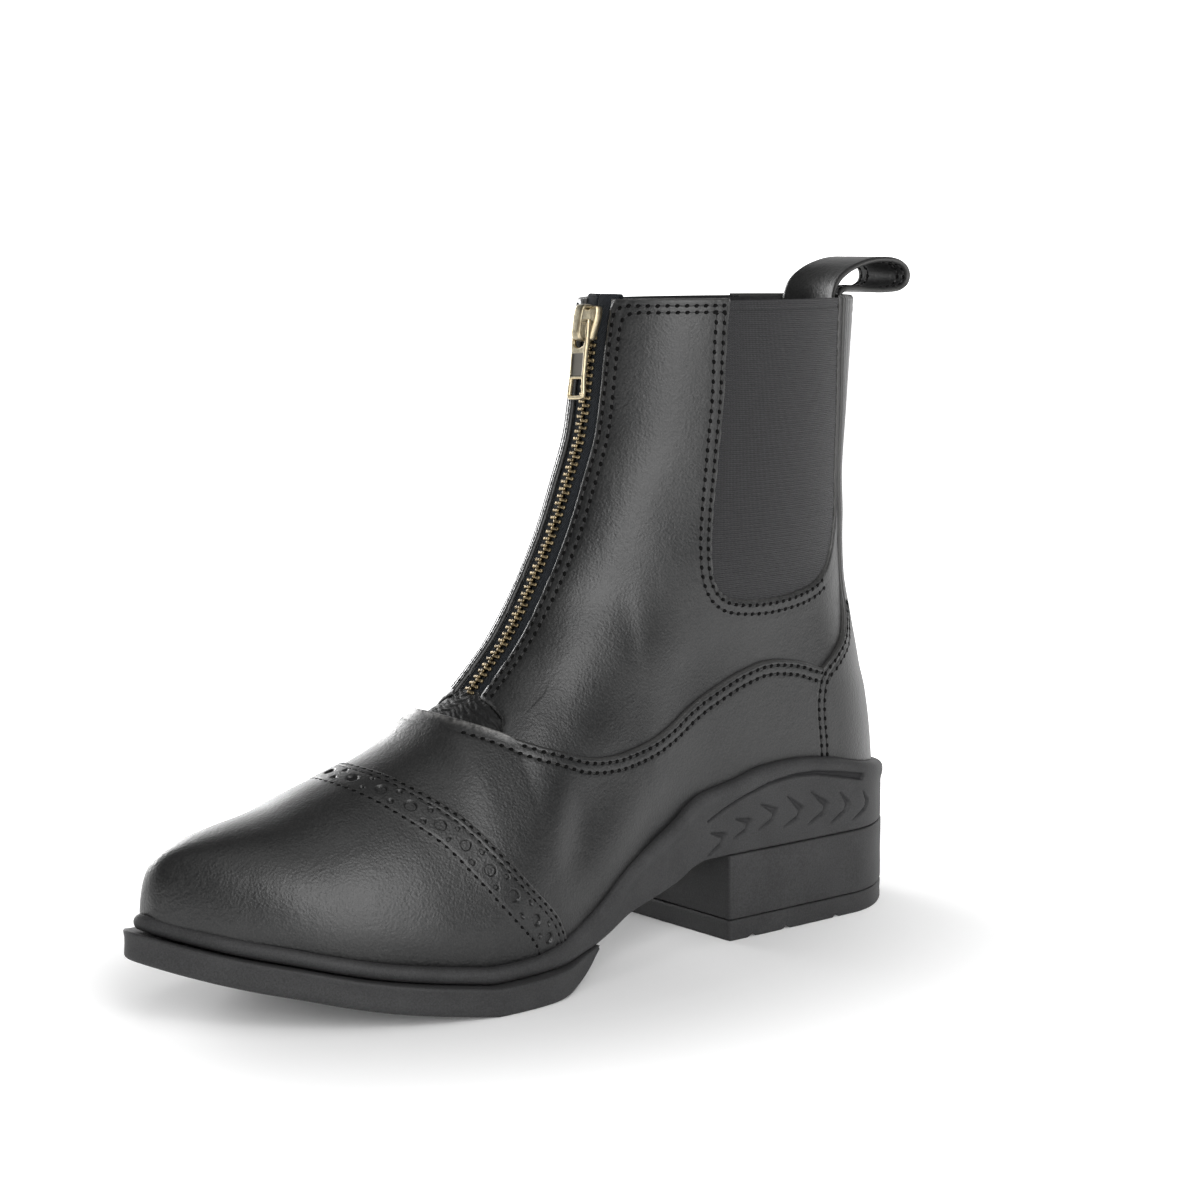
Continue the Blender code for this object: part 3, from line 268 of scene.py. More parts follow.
def leather(turn, up, lift=0.0):
    # the upper's outside with its folds, moved outwards by lift, in the row's frame
    turn, up = np.broadcast_arrays(np.asarray(turn, float), np.asarray(up, float))
    raw = upperRaw(turn, up)
    normal = upperNormal(turn, up)
    return raw + normal * (foldRise(raw) + lift)[..., None] - np.array([boot["heelRest"], 0, 0])


def toSurface(x, z):
    # turn and up on the outer side for a point of the side view, x from the row's origin
    x = x + boot["heelRest"]
    up = (z - feather(x)) / (boot["shaftHeight"] - feather(x))
    back, front = np.interp(up, fineSteps, backs), np.interp(up, fineSteps, fronts)
    return np.arccos(1 - 2 * np.clip((x - back) / (front - back), 0, 1)), up


def firstAbove(turn, test):
    # share of the way up where test(x, z) first turns positive, for each turn
    points = upperRaw(np.repeat(turn[:, None], len(steps), 1), np.repeat(steps[None], len(turn), 0))
    value = test(points[..., 0], points[..., 2])
    hit = np.maximum(np.argmax(value > 0, axis=1), 1)
    rows = np.arange(len(turn))
    low, high = value[rows, hit - 1], value[rows, hit]
    share = np.where(value[:, 0] > 0, 0, np.clip(-low / np.where(high == low, 1, high - low), 0, 1))
    return np.where(value[:, 0] > 0, 0, steps[hit - 1] + (steps[1] - steps[0]) * share)


def frontTurn(up, across):
    # turn at which the front of the shaft lies a distance to one side, for each share up
    turn = math.pi / 2 + steps * math.pi
    across = np.broadcast_to(across, up.shape)
    y = upperRaw(np.repeat(turn[None], len(up), 0), np.repeat(up[:, None], len(turn), 1))[..., 1]
    hit = np.clip(np.argmax(y < across[:, None], axis=1), 1, len(turn) - 1)
    rows = np.arange(len(up))
    share = (y[rows, hit - 1] - across) / (y[rows, hit - 1] - y[rows, hit])
    return turn[hit - 1] + (turn[1] - turn[0]) * share


def perUnit(turn, up, raw, small=1e-3):
    # how the leather's point moves with turn and with up
    back = np.where(up > 0.5, -small, small)
    return (upperRaw(turn + small, up) - raw) / small, (upperRaw(turn, up + back) - raw) / back[..., None]


def smoothTangents(points, rounds=12):
    tangent = unit(np.gradient(points, axis=0))
    for _ in range(rounds):
        padded = np.vstack([tangent[:1], tangent, tangent[-1:]])
        tangent = unit(padded[:-2] + 2 * padded[1:-1] + padded[2:])
    return tangent


def slide(turn, up, distance):
    # moves a line sideways over the leather, to its left seen from outside, then back onto the leather
    raw = upperRaw(turn, up)
    target = raw + np.cross(upperNormal(turn, up), smoothTangents(raw)) * distance
    for _ in range(6):
        raw = upperRaw(turn, up)
        du, dv = perUnit(turn, up, raw)
        uu, uv, vv = (du * du).sum(-1), (du * dv).sum(-1), (dv * dv).sum(-1)
        away = target - raw
        ru, rv = (du * away).sum(-1), (dv * away).sum(-1)
        solve = uu * vv - uv * uv
        turn = turn + np.clip((ru * vv - rv * uv) / solve, -0.05, 0.05)
        up = np.clip(up + np.clip((rv * uu - ru * uv) / solve, -0.05, 0.05), 0, 1)
    return turn, up


def runAlong(line):
    # length along a line from its start to each of its points
    return np.append(0, np.cumsum(np.linalg.norm(np.diff(line, axis=0), axis=1)))


def pick(at, run, values):
    # each column of values read off at given lengths along a line
    return np.stack([np.interp(at, run, values[:, k]) for k in range(values.shape[1])], -1)


def resample(points, count):
    # the same line at even arc lengths
    run = runAlong(points)
    return pick(np.linspace(0, run[-1], count), run, points)


def smoothLine(turn, up, knots, count):
    # the same line on the leather through a few of its points, evenly spaced again
    run = runAlong(upperRaw(turn, up))
    at = np.linspace(0, run[-1], knots)
    fine = splineThrough(np.column_stack([np.interp(at, run, turn), np.interp(at, run, up)]), count * 2)
    run = runAlong(upperRaw(fine[:, 0], fine[:, 1]))
    at = np.linspace(0, run[-1], count)
    return np.interp(at, run, fine[:, 0]), np.interp(at, run, fine[:, 1])


def splineThrough(points, count):
    # Catmull-Rom spline through a few points, evenly spaced afterwards
    p = np.asarray(points, float)
    ext = np.vstack([2 * p[0] - p[1], p, 2 * p[-1] - p[-2]])
    t = np.linspace(0, len(p) - 1 - 1e-9, count * 3)
    i = t.astype(int)
    s = (t - i)[:, None]
    a, b, c, d = ext[i], ext[i + 1], ext[i + 2], ext[i + 3]
    fine = 0.5 * (2 * b + (c - a) * s + (2 * a - 5 * b + 4 * c - d) * s ** 2 + (3 * b - a - 3 * c + d) * s ** 3)
    return resample(fine, count)


print("leather surface ready")


# materials

class Signal:
    # wraps a socket, so that arithmetic on it adds Math nodes
    def __init__(self, tree, socket=None):
        self.tree, self.socket = tree, socket

    def node(self, kind, settings=None, inputs=None, output=0):
        made = self.tree.nodes.new(kind)
        for key, value in (settings or {}).items():
            if key == "stops":
                ramp = made.color_ramp
                while len(ramp.elements) < len(value):
                    ramp.elements.new(1.0)
                for element, (place, shade) in zip(ramp.elements, value):
                    element.position = place
                    element.color = (shade, shade, shade, 1)
            else:
                setattr(made, key, value)
        for key, value in (inputs or {}).items():
            if isinstance(value, Signal):
                self.tree.links.new(value.socket, made.inputs[key])
            else:
                made.inputs[key].default_value = value
        return Signal(self.tree, made.outputs[output])

    def math(self, operation, first, second=0.0):
        return self.node("ShaderNodeMath", {"operation": operation}, {0: first, 1: second})

    def __add__(self, other):
        return self.math("ADD", self, other)

    __radd__ = __add__

    def __sub__(self, other):
        return self.math("SUBTRACT", self, other)

    def __rsub__(self, other):
        return self.math("SUBTRACT", other, self)

    def __mul__(self, other):
        return self.math("MULTIPLY", self, other)

    __rmul__ = __mul__

    def noise(self, coords, scale, detail=2.0, roughness=0.5):
        return self.node("ShaderNodeTexNoise", {}, {
            "Vector": coords, "Scale": scale, "Detail": detail, "Roughness": roughness})

    def cells(self, coords, scale, feature="F1"):
        return self.node("ShaderNodeTexVoronoi", {"feature": feature}, {"Vector": coords, "Scale": scale})

    def step(self, low, high):
        return self.node("ShaderNodeMapRange", {"interpolation_type": "SMOOTHSTEP"},
                         {"Value": self, "From Min": low, "From Max": high})

    def tint(self, first, second):
        # mix of two colours by this value
        return self.node("ShaderNodeMix", {"data_type": "RGBA"},
                         {"Factor": self, 6: first, 7: second}, output=2)


def surface(name, recipe, **fixed):
    # a material whose recipe gives the varying sockets; fixed ones are set on the shader itself
    made = bpy.data.materials.new(name)
    made.use_nodes = True
    shader = made.node_tree.nodes["Principled BSDF"]
    for key, value in fixed.items():
        shader.inputs[key.replace("_", " ")].default_value = value
    for key, value in recipe(Signal(made.node_tree)).items():
        made.node_tree.links.new(value.socket, shader.inputs[key])
    return made


def colour(r, g, b):
    return (r, g, b, 1.0)


# tones of the leather: deep and light for its grain, a pale tone for rubbed edges, and rim, a paler colour that paints
# a highlight along the throat's rolled edge
leatherLook = dict(deep=colour(0.0050, 0.0053, 0.0056), light=colour(0.0190, 0.0190, 0.0186),
                   wearAndRimHighlight=colour(0.062, 0.061, 0.059), rim=colour(0.15, 0.147, 0.142), roughLow=0.33, roughHigh=0.57,
                   grain=1150.0, pores=1600.0, grainDepth=0.00028, speckle=0.55)


def leatherRecipe(look):
    def recipe(s):
        coords = s.node("ShaderNodeTexCoord", output=3)
        cloud = s.noise(coords, 34.0, 3.0)
        wide = s.noise(coords, 11.0, 2.0)
        fine = s.noise(coords, look["pores"], 2.0, 0.6)
        grain = s.cells(coords, look["grain"], "F1")
        edge = s.node("ShaderNodeAttribute", {"attribute_name": "edge"}, output=2)
        blotch = (cloud * 0.6 + wide * 0.4).step(0.38, 0.64)
        dust = fine.step(0.38, 0.66)
        base = (blotch * (1.0 - look["speckle"]) + dust * look["speckle"]).tint(look["deep"], look["light"])
        base = (edge * (0.25 + cloud * 0.7)).tint(base, look["wearAndRimHighlight"])
        # painted shade: punched holes darkened to near black, standing in for the shade inside them
        pit = s.node("ShaderNodeAttribute", {"attribute_name": "pit"}, output=2)
        base = pit.tint(base, colour(0.001, 0.001, 0.001))
        # painted highlight: a pale, patchy colour along the throat's rolled edge, where it catches the light
        rim = s.node("ShaderNodeAttribute", {"attribute_name": "rim"}, output=2)
        base = (rim * s.noise(coords, 700.0, 2.0).step(0.25, 0.75)).tint(base, look["rim"])
        rough = look["roughLow"] + (look["roughHigh"] - look["roughLow"]) * (cloud * 0.5 + fine * 0.5)
        height = grain * 0.55 + fine * 0.6 + s.noise(coords, 260.0, 2.0) * 0.9
        bump = s.node("ShaderNodeBump", {}, {"Height": height, "Strength": 0.5, "Distance": look["grainDepth"]})
        return {"Base Color": base, "Roughness": rough, "Normal": bump}
    return recipe


smoothLeather = surface("smoothLeather", leatherRecipe(leatherLook), Specular_IOR_Level=0.5, Coat_Weight=0.12,
                        Coat_Roughness=0.35)
creasedLook = dict(leatherLook, roughLow=0.55, roughHigh=0.75, light=colour(0.010, 0.0098, 0.0095))
creasedLeather = surface("creasedLeather", leatherRecipe(creasedLook), Specular_IOR_Level=0.4)
strapLook = dict(leatherLook, roughLow=0.42, roughHigh=0.6)
strapLeather = surface("strapLeather", leatherRecipe(strapLook), Specular_IOR_Level=0.45)


def suedeRecipe(s):
    coords = s.node("ShaderNodeTexCoord", output=3)
    nap = s.noise(coords, 900.0, 4.0, 0.7)
    cloud = s.noise(coords, 60.0, 2.0)
    base = (nap * 0.6 + cloud * 0.4).step(0.3, 0.7).tint(colour(0.010, 0.010, 0.011), colour(0.032, 0.031, 0.031))
    bump = s.node("ShaderNodeBump", {}, {"Height": nap, "Strength": 0.7, "Distance": 0.0005})
    return {"Base Color": base, "Normal": bump}


suede = surface("suede", suedeRecipe, Roughness=0.95, Specular_IOR_Level=0.2, Sheen_Weight=0.15)


def rubberRecipe(s):
    coords = s.node("ShaderNodeTexCoord", output=3)
    speck = s.noise(coords, 1900.0, 2.0, 0.7)
    cloud = s.noise(coords, 70.0, 3.0)
    edge = s.node("ShaderNodeAttribute", {"attribute_name": "edge"}, output=2)
    base = (speck * 0.7 + cloud * 0.3).step(0.3, 0.72).tint(colour(0.018, 0.018, 0.0185),
                                                            colour(0.040, 0.040, 0.041))
    # painted shade: the slot, the chevrons and the lip that runs under the leather are darkened where shade falls in
    # them
    base = edge.tint(base, colour(0.006, 0.006, 0.007))
    bump = s.node("ShaderNodeBump", {}, {"Height": speck + cloud * 0.6, "Strength": 0.35, "Distance": 0.0003})
    return {"Base Color": base, "Roughness": 0.56 + 0.16 * speck, "Normal": bump}


rubber = surface("mattRubber", rubberRecipe, Specular_IOR_Level=0.35)


def elasticRecipe(s):
    uv = s.node("ShaderNodeUVMap", {"uv_map": "surface"})
    split = s.node("ShaderNodeSeparateXYZ", {}, {0: uv})
    down = s.node("ShaderNodeSeparateXYZ", {}, {0: uv}, output=1)
    ribs = s.math("SINE", down * (2 * math.pi / 0.62)) * 0.5 + 0.5
    threads = s.math("SINE", split * (2 * math.pi / 0.55)) * 0.5 + 0.5
    coords = s.node("ShaderNodeTexCoord", output=3)
    fuzz = s.noise(coords, 2400.0, 2.0, 0.7)
    shade = (ribs * 0.35 + threads * 0.25 + fuzz * 0.45).step(0.2, 0.95)
    base = shade.tint(colour(0.011, 0.011, 0.012), colour(0.036, 0.0355, 0.037))
    bump = s.node("ShaderNodeBump", {}, {"Height": ribs + threads * 0.6 + fuzz * 0.6, "Strength": 0.6,
                                         "Distance": 0.0003})
    return {"Base Color": base, "Normal": bump}


elastic = surface("ribbedElastic", elasticRecipe, Roughness=0.88, Specular_IOR_Level=0.25, Sheen_Weight=0.1)


def clothRecipe(s):
    uv = s.node("ShaderNodeUVMap", {"uv_map": "surface"})
    across = s.node("ShaderNodeSeparateXYZ", {}, {0: uv})
    along = s.node("ShaderNodeSeparateXYZ", {}, {0: uv}, output=1)
    twill = s.math("SINE", (across + along) * (2 * math.pi / 0.7)) * 0.5 + 0.5
    rows = s.math("SINE", (across - along) * (2 * math.pi / 0.9)) * 0.5 + 0.5
    base = (twill * 0.5 + rows * 0.5).step(0.1, 0.9).tint(colour(0.006, 0.007, 0.009), colour(0.022, 0.026, 0.031))
    bump = s.node("ShaderNodeBump", {}, {"Height": twill + rows * 0.6, "Strength": 0.6, "Distance": 0.0003})
    return {"Base Color": base, "Normal": bump}


zipCloth = surface("zipCloth", clothRecipe, Roughness=0.85, Specular_IOR_Level=0.25)


def brassRecipe(bright, dark):
    def recipe(s):
        coords = s.node("ShaderNodeTexCoord", output=3)
        tarnish = s.noise(coords, 420.0, 3.0, 0.6)
        edge = s.node("ShaderNodeAttribute", {"attribute_name": "edge"}, output=2)
        base = tarnish.step(0.30, 0.66).tint(dark, bright)
        base = edge.tint(base, colour(0.62, 0.52, 0.34))
        plate = s.node("ShaderNodeAttribute", {"attribute_name": "plate"}, output=2)
        base = plate.tint(base, colour(0.115, 0.108, 0.095))
        bump = s.node("ShaderNodeBump", {}, {"Height": tarnish, "Strength": 0.2, "Distance": 0.0002})
        return {"Base Color": base, "Roughness": 0.30 + 0.22 * tarnish, "Normal": bump}
    return recipe


toothBrass = surface("toothBrass", brassRecipe(colour(0.30, 0.235, 0.135), colour(0.10, 0.078, 0.045)),
                     Metallic=1.0)
sliderBrass = surface("sliderBrass", brassRecipe(colour(0.40, 0.36, 0.26), colour(0.19, 0.165, 0.115)),
                      Metallic=1.0)


def threadRecipe(s):
    coords = s.node("ShaderNodeTexCoord", output=3)
    ply = s.noise(coords, 2200.0, 1.0)
    base = ply.step(0.3, 0.7).tint(colour(0.008, 0.008, 0.009), colour(0.030, 0.029, 0.028))
    return {"Base Color": base}


thread = surface("blackThread", threadRecipe, Roughness=0.55, Specular_IOR_Level=0.4)


def stitchHoleShadeRecipe(s):
    # painted shade: a near-black colour for the discs at the stitch holes, standing in for the shade inside them
    coords = s.node("ShaderNodeTexCoord", output=3)
    return {"Base Color": s.noise(coords, 900.0).step(0.3, 0.7).tint(colour(0.0015, 0.0015, 0.0015),
                                                                    colour(0.004, 0.004, 0.004))}


stitchHoleShade = surface("stitchHoleShade", stitchHoleShadeRecipe, Roughness=0.9, Specular_IOR_Level=0.1)
print("materials ready")


# mesh helpers

def quadsOf(rows, columns, closed):
    # quads of a grid, facing outwards when rows run up and columns run round from the back
    index = np.arange(rows * columns).reshape(rows, columns)
    beside = np.roll(index, -1, axis=1)
    if not closed:
        index, beside = index[:, :-1], beside[:, :-1]
    return np.stack([index[:-1], index[1:], beside[1:], beside[:-1]], -1).reshape(-1, 4)


def addPiece(name, points, quads, body, material, uv=None, marks=None, weld=0.0):
    mesh = bpy.data.meshes.new(name)
    mesh.from_pydata(points.reshape(-1, 3).tolist(), [], quads.tolist())
    mesh.polygons.foreach_set("use_smooth", np.ones(len(mesh.polygons), bool))
    if uv is not None:
        loops = np.zeros(len(mesh.loops), np.int32)
        mesh.loops.foreach_get("vertex_index", loops)
        layer = mesh.uv_layers.new(name="surface")
        layer.data.foreach_set("uv", uv.reshape(-1, 2)[loops].astype(np.float32).ravel())
    for label, values in (marks or {}).items():
        layer = mesh.attributes.new(label, "FLOAT", "POINT")
        layer.data.foreach_set("value", values.ravel().astype(np.float32))
    mesh.validate()
    mesh.update()
    piece = bpy.data.objects.new(name, mesh)
    bpy.context.scene.collection.objects.link(piece)
    mesh.materials.append(material)
    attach(piece, body)
    if weld:
        joined = piece.modifiers.new("weld", "WELD")
        joined.merge_threshold = weld
    return piece


def thicken(piece, thickness, offset=-1.0):
    wall = piece.modifiers.new("wall", "SOLIDIFY")
    wall.thickness = thickness
    wall.offset = offset
    return piece


def flatDistance(px, pz, line, closed=True):
    # distance from points to a line of the side view, the nearest place on it, and whether inside
    a = line if closed else line[:-1]
    b = np.roll(line, -1, axis=0) if closed else line[1:]
    best = np.full(px.shape, 1e9)
    nearX, nearZ = px.copy(), pz.copy()
    inside = np.zeros(px.shape, bool)
    for (ax, az), (bx, bz) in zip(a, b):
        dx, dz = bx - ax, bz - az
        t = np.clip(((px - ax) * dx + (pz - az) * dz) / max(dx * dx + dz * dz, 1e-18), 0, 1)
        qx, qz = ax + dx * t, az + dz * t
        far = np.hypot(px - qx, pz - qz)
        closer = far < best
        best = np.where(closer, far, best)
        nearX, nearZ = np.where(closer, qx, nearX), np.where(closer, qz, nearZ)
        if closed and abs(dz) > 1e-12:
            crosses = ((az > pz) != (bz > pz)) & (px < ax + dx * (pz - az) / dz)
            inside ^= crosses
    return best, nearX, nearZ, inside


seamForm = dict(round=0.0011, groove=0.00016, grooveWidth=0.00055, rows=(0.0018, 0.0046))


def edgeProfile(distance, rows=seamForm["rows"]):
    # leather falls away over its rounded edge and dips a little along each row of stitches
    near = np.clip(1 - distance / seamForm["round"], 0, 1)
    rise = -seamForm["round"] * 0.75 * (1 - np.sqrt(1 - near ** 2 * 0.999))
    for row in rows:
        rise = rise - seamForm["groove"] * bell(distance, row, seamForm["grooveWidth"])
    return rise


def wornEdge(distance):
    return np.clip(1 - distance / 0.0011, 0, 1) ** 1.5


# outlines of the leather pieces in side view, in mm from the row's origin

goreEdge = splineThrough([(36.8, 212), (37.2, 203), (38.3, 188.3), (39.1, 171.3), (41.1, 154.4), (43.1, 137.4),
                          (43.9, 125.5), (42.6, 116.6), (38.6, 111.6), (31.9, 109.4), (19.7, 108.6), (6.4, 109.6),
                          (-4.2, 112.0), (-11.6, 116.3), (-16.4, 122.6), (-18.9, 131), (-19.4, 141.6),
                          (-18.3, 155), (-16.9, 168.8), (-14.6, 190), (-13.8, 203), (-13.2, 212)], 160) / 1000
foxingEdge = table("x z", (-40, 78), (-10, 82.5), (-2.0, 84.7), (6.4, 87.3), (19.0, 88.7), (28.6, 87.0),
                   (42.0, 82.2), (54.1, 76.7), (64.3, 71.4), (76.3, 67.9), (87.6, 66.6), (94.9, 66.9),
                   (101.2, 68.2), (107.4, 70.1), (112.7, 72.0), (119.4, 74.7), (122.9, 76.3), (126.2, 77.6),
                   (129.2, 78.8), (131.4, 79.9), (132.4, 81.2), (132.8, 83.0))
counterEdge = table("z x", (40, -4.0), (55.1, -3.5), (71.9, -1.7), (79, -2.6), (82.5, -4.6), (87.2, -10.5),
                    (93.7, -18.6), (103.4, -22.3), (112, -23.0), (122, -22.6), (141.6, -21.0), (168.8, -18.4),
                    (190, -16.2), (206, -15.4))
capEdge = table("z x", (10, 112.0), (14.9, 114.0), (23.2, 117.7), (35.0, 128.3), (47.0, 137.2), (55.6, 143.7),
                (60.9, 150.0), (65.0, 155.1), (66.6, 159.0), (67.6, 163.0))


def capUp(turn):
    return firstAbove(turn, lambda x, z: smooth(
        z * 1000, capEdge["z"], capEdge["x"]) / 1000 + boot["heelRest"] - x)


def foxingUp(turn):
    last = foxingEdge["x"][-1] / 1000 + boot["heelRest"]
    return firstAbove(turn, lambda x, z: np.where(
        x > last, -1.0, z - smooth((x - boot["heelRest"]) * 1000, foxingEdge["x"], foxingEdge["z"]) / 1000))


halfTurns = np.linspace(0, math.pi, 500)
randRow = firstAbove(halfTurns, lambda x, z: z - randTop(x))


def randUp(turn, clear=0.0):
    # share of the way up at which the leather leaves the rubber, on either side
    turn = np.where(turn > math.pi, 2 * math.pi - turn, np.abs(turn))
    return np.interp(turn, halfTurns, randRow) + clear / boot["shaftHeight"]


# shaft: both quarters as one skin, with the zip's slit and both gores cut out

shaftSet = dict(columns=350, rows=84, wall=0.0019, below=0.030, corner=0.0042, arch=0.1185, archHalf=0.0175,
                archEnd=0.0260, archFlare=0.005, archDrop=0.0004, archTop=0.010, archSeen=0.0245, sink=0.55,
                edgeSteps=(0, 0.00015, 0.0004, 0.0008, 0.0012, 0.0018, 0.0025, 0.0034, 0.0046, 0.0058),
                topRows=(0.0022, 0.0052), slitWorn=0.25, slitFrontOf=0.03, goreBeside=0.012)


def archX(y):
    # where the quarters end at the throat, a shallow arch that runs under the lower panel at both sides
    across = np.abs(y)
    flare = shaftSet["archFlare"] * ease(across, shaftSet["archHalf"], shaftSet["archEnd"])
    return shaftSet["arch"] + flare - shaftSet["archDrop"] * (1 - ease(across, 0, shaftSet["archTop"]))


def archUp(turn):
    points = upperRaw(np.repeat(turn[:, None], len(steps), 1), np.repeat(steps[None], len(turn), 0))
    value = archX(points[..., 1]) + boot["heelRest"] - points[..., 0]
    value = np.where(np.abs(points[..., 1]) < shaftSet["archSeen"], value, 1.0)
    hit = len(steps) - np.argmax(value[:, ::-1] < 0, axis=1)
    hit = np.where((value < 0).any(axis=1), np.minimum(hit, len(steps) - 1), 0)
    rows = np.arange(len(turn))
    low, high = value[rows, hit - 1], value[rows, hit]
    share = np.clip(-low / np.where(high == low, 1, high - low), 0, 1)
    return np.where(hit > 0, steps[hit - 1] + (steps[1] - steps[0]) * share, 0)


def shaftLow(turn):
    # lower end of the quarters: the arch at the throat, then sinking evenly under the lower panel
    fine = np.linspace(0, math.pi, 700)
    arch = np.where(fine > math.pi / 2, archUp(fine), 0)
    first = int(np.argmax(arch > 0))
    sinking = arch[first] - shaftSet["sink"] * (fine[first] - fine)
    low = np.where(fine >= fine[first], arch, sinking)
    low = np.maximum(low, foxingUp(fine) - shaftSet["below"])
    window = np.hanning(15)
    low = np.convolve(np.pad(low, 7, "edge"), window / window.sum(), "valid")
    return np.interp(np.minimum(turn, 2 * math.pi - turn), fine, low)


def makeShaft():
    columns, rows = shaftSet["columns"], shaftSet["rows"]
    turn = np.linspace(0, 2 * math.pi, columns, endpoint=False)
    low = shaftLow(turn)
    long = np.linalg.norm(upperRaw(turn, np.ones_like(turn)) - upperRaw(turn, low), axis=-1)
    near = np.array(shaftSet["edgeSteps"])[:, None] / long[None]
    middle = near[-1] + (1 - 2 * near[-1]) * np.linspace(0, 1, rows + 2)[1:-1, None]
    share = np.vstack([near, middle, 1 - near[::-1]])
    up = low[None] + (1 - low)[None] * share
    turn = np.repeat(turn[None], len(up), 0)
    raw = upperRaw(turn, up)
    x, y, z = raw[..., 0] - boot["heelRest"], raw[..., 1], raw[..., 2]
    # the gore's opening on both sides
    far, nearX, nearZ, inGore = flatDistance(x, z, goreEdge)
    inGore &= np.abs(y) > shaftSet["goreBeside"]
    # the zip's slit, wider at the rounded top corners, running out at the arch
    topCorner = np.clip((z - boot["shaftHeight"] + shaftSet["corner"]) / shaftSet["corner"], 0, 1)
    half = boot["zipSlit"] / 2 + shaftSet["corner"] * (1 - np.sqrt(1 - topCorner ** 2 * 0.98))
    inFront = x > shaftSet["slitFrontOf"]
    inSlit = (np.abs(y) < half) & inFront
    slitFar = np.where(inFront, np.abs(np.abs(y) - half), 1.0)
    outside = ~(inGore | inSlit)
    quads = quadsOf(len(up), columns, True)
    kept = quads[outside.ravel()[quads].any(axis=1)]
    # corners left inside an opening are drawn to its edge
    newTurn, newUp = toSurface(nearX, nearZ)
    newTurn = np.where(y >= 0, newTurn, 2 * math.pi - newTurn)
    turn = np.where(inGore, newTurn, turn)
    up = np.where(inGore, np.minimum(newUp, 1), up)
    levels = np.linspace(0.2, 1, 400)
    leftAt, rightAt = frontTurn(levels, boot["zipSlit"] / 2), frontTurn(levels, -boot["zipSlit"] / 2)
    target = np.where(y >= 0, np.interp(up, levels, leftAt), np.interp(up, levels, rightAt))
    turn = np.where(inSlit, target, turn)
    gone = inGore | inSlit
    fromGore = np.where(gone, 0, far)
    fromSlit = np.where(gone, 0, slitFar)
    fromTop = np.clip(boot["shaftHeight"] - z, 0, None)
    fromArch = np.where((x > 0.1) & (np.abs(y) < 0.03), np.clip(archX(y) - x, 0, None), 1.0)
    lift = edgeProfile(fromGore) + edgeProfile(fromSlit) + edgeProfile(fromTop, shaftSet["topRows"])
    lift = lift + edgeProfile(fromArch, ())
    points = leather(turn, up, np.maximum(lift, -seamForm["round"]))
    edge = np.maximum(wornEdge(np.minimum(fromGore, fromTop)),
                      wornEdge(np.minimum(fromSlit, fromArch)) * shaftSet["slitWorn"])
    piece = addPiece("shaftLeather", points, kept, "boot", smoothLeather, marks=dict(edge=edge))
    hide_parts("upper")
    return thicken(piece, shaftSet["wall"])


insetSet = dict(lift=-0.0011, columns=170, rows=80, turn=0.62, fromX=0.1172, toX=0.138, wall=0.0010)


def makeThroatInset():
    # the soft dark leather between the quarters' arch and the lower panel's rim, full of small creases
    turn = np.linspace(math.pi - insetSet["turn"], math.pi + insetSet["turn"], insetSet["columns"])
    folded = np.minimum(turn, 2 * math.pi - turn)
    ends = [firstAbove(folded, lambda x, z, far=far: far + boot["heelRest"] - x)
            for far in (insetSet["toX"], insetSet["fromX"])]
    up = ends[0][None] + (ends[1] - ends[0])[None] * np.linspace(0, 1, insetSet["rows"])[:, None]
    turns = np.repeat(turn[None], len(up), 0)
    raw = upperRaw(turns, up)
    x, y = raw[..., 0] * 1000, raw[..., 1] * 1000
    crease = 0.22 * np.sin(2.3 * x + 1.8 * np.sin(y * 0.42) + 0.9 * np.sin(y * 1.1)) + 0.12 * np.sin(
        4.1 * x - 1.2 * y + 2 * np.sin(0.7 * y)) + 0.08 * np.sin(6.3 * x + 2.9 * y)
    points = leather(turns, up, insetSet["lift"] + crease / 1000)
    piece = addPiece("throatInset", points, quadsOf(len(up), len(turn), False), "boot", creasedLeather)
    thicken(piece, insetSet["wall"])


makeThroatInset()
makeShaft()
print("shaft done")


# overlays: rows follow the visible edge at set distances, then run down into the rubber

def toLine(points, line):
    # nearest distance from each point to a fine line, and the length along the line at that place
    run = runAlong(line)
    flat = points.reshape(-1, 3)
    best, at = np.full(len(flat), 1e9), np.zeros(len(flat))
    for first in range(0, len(flat), 4000):
        part = flat[first:first + 4000]
        gap = ((part[:, None] - line[None]) ** 2).sum(-1)
        hit = np.clip(gap.argmin(1), 1, len(line) - 2)
        a, b = line[hit - 1], line[hit + 1]
        share = np.clip(((part - a) * (b - a)).sum(-1) / ((b - a) ** 2).sum(-1), 0, 1)
        best[first:first + 4000] = np.linalg.norm(part - a - (b - a) * share[:, None], axis=1)
        at[first:first + 4000] = run[hit - 1] + (run[hit + 1] - run[hit - 1]) * share
    return best.reshape(points.shape[:-1]), at.reshape(points.shape[:-1])


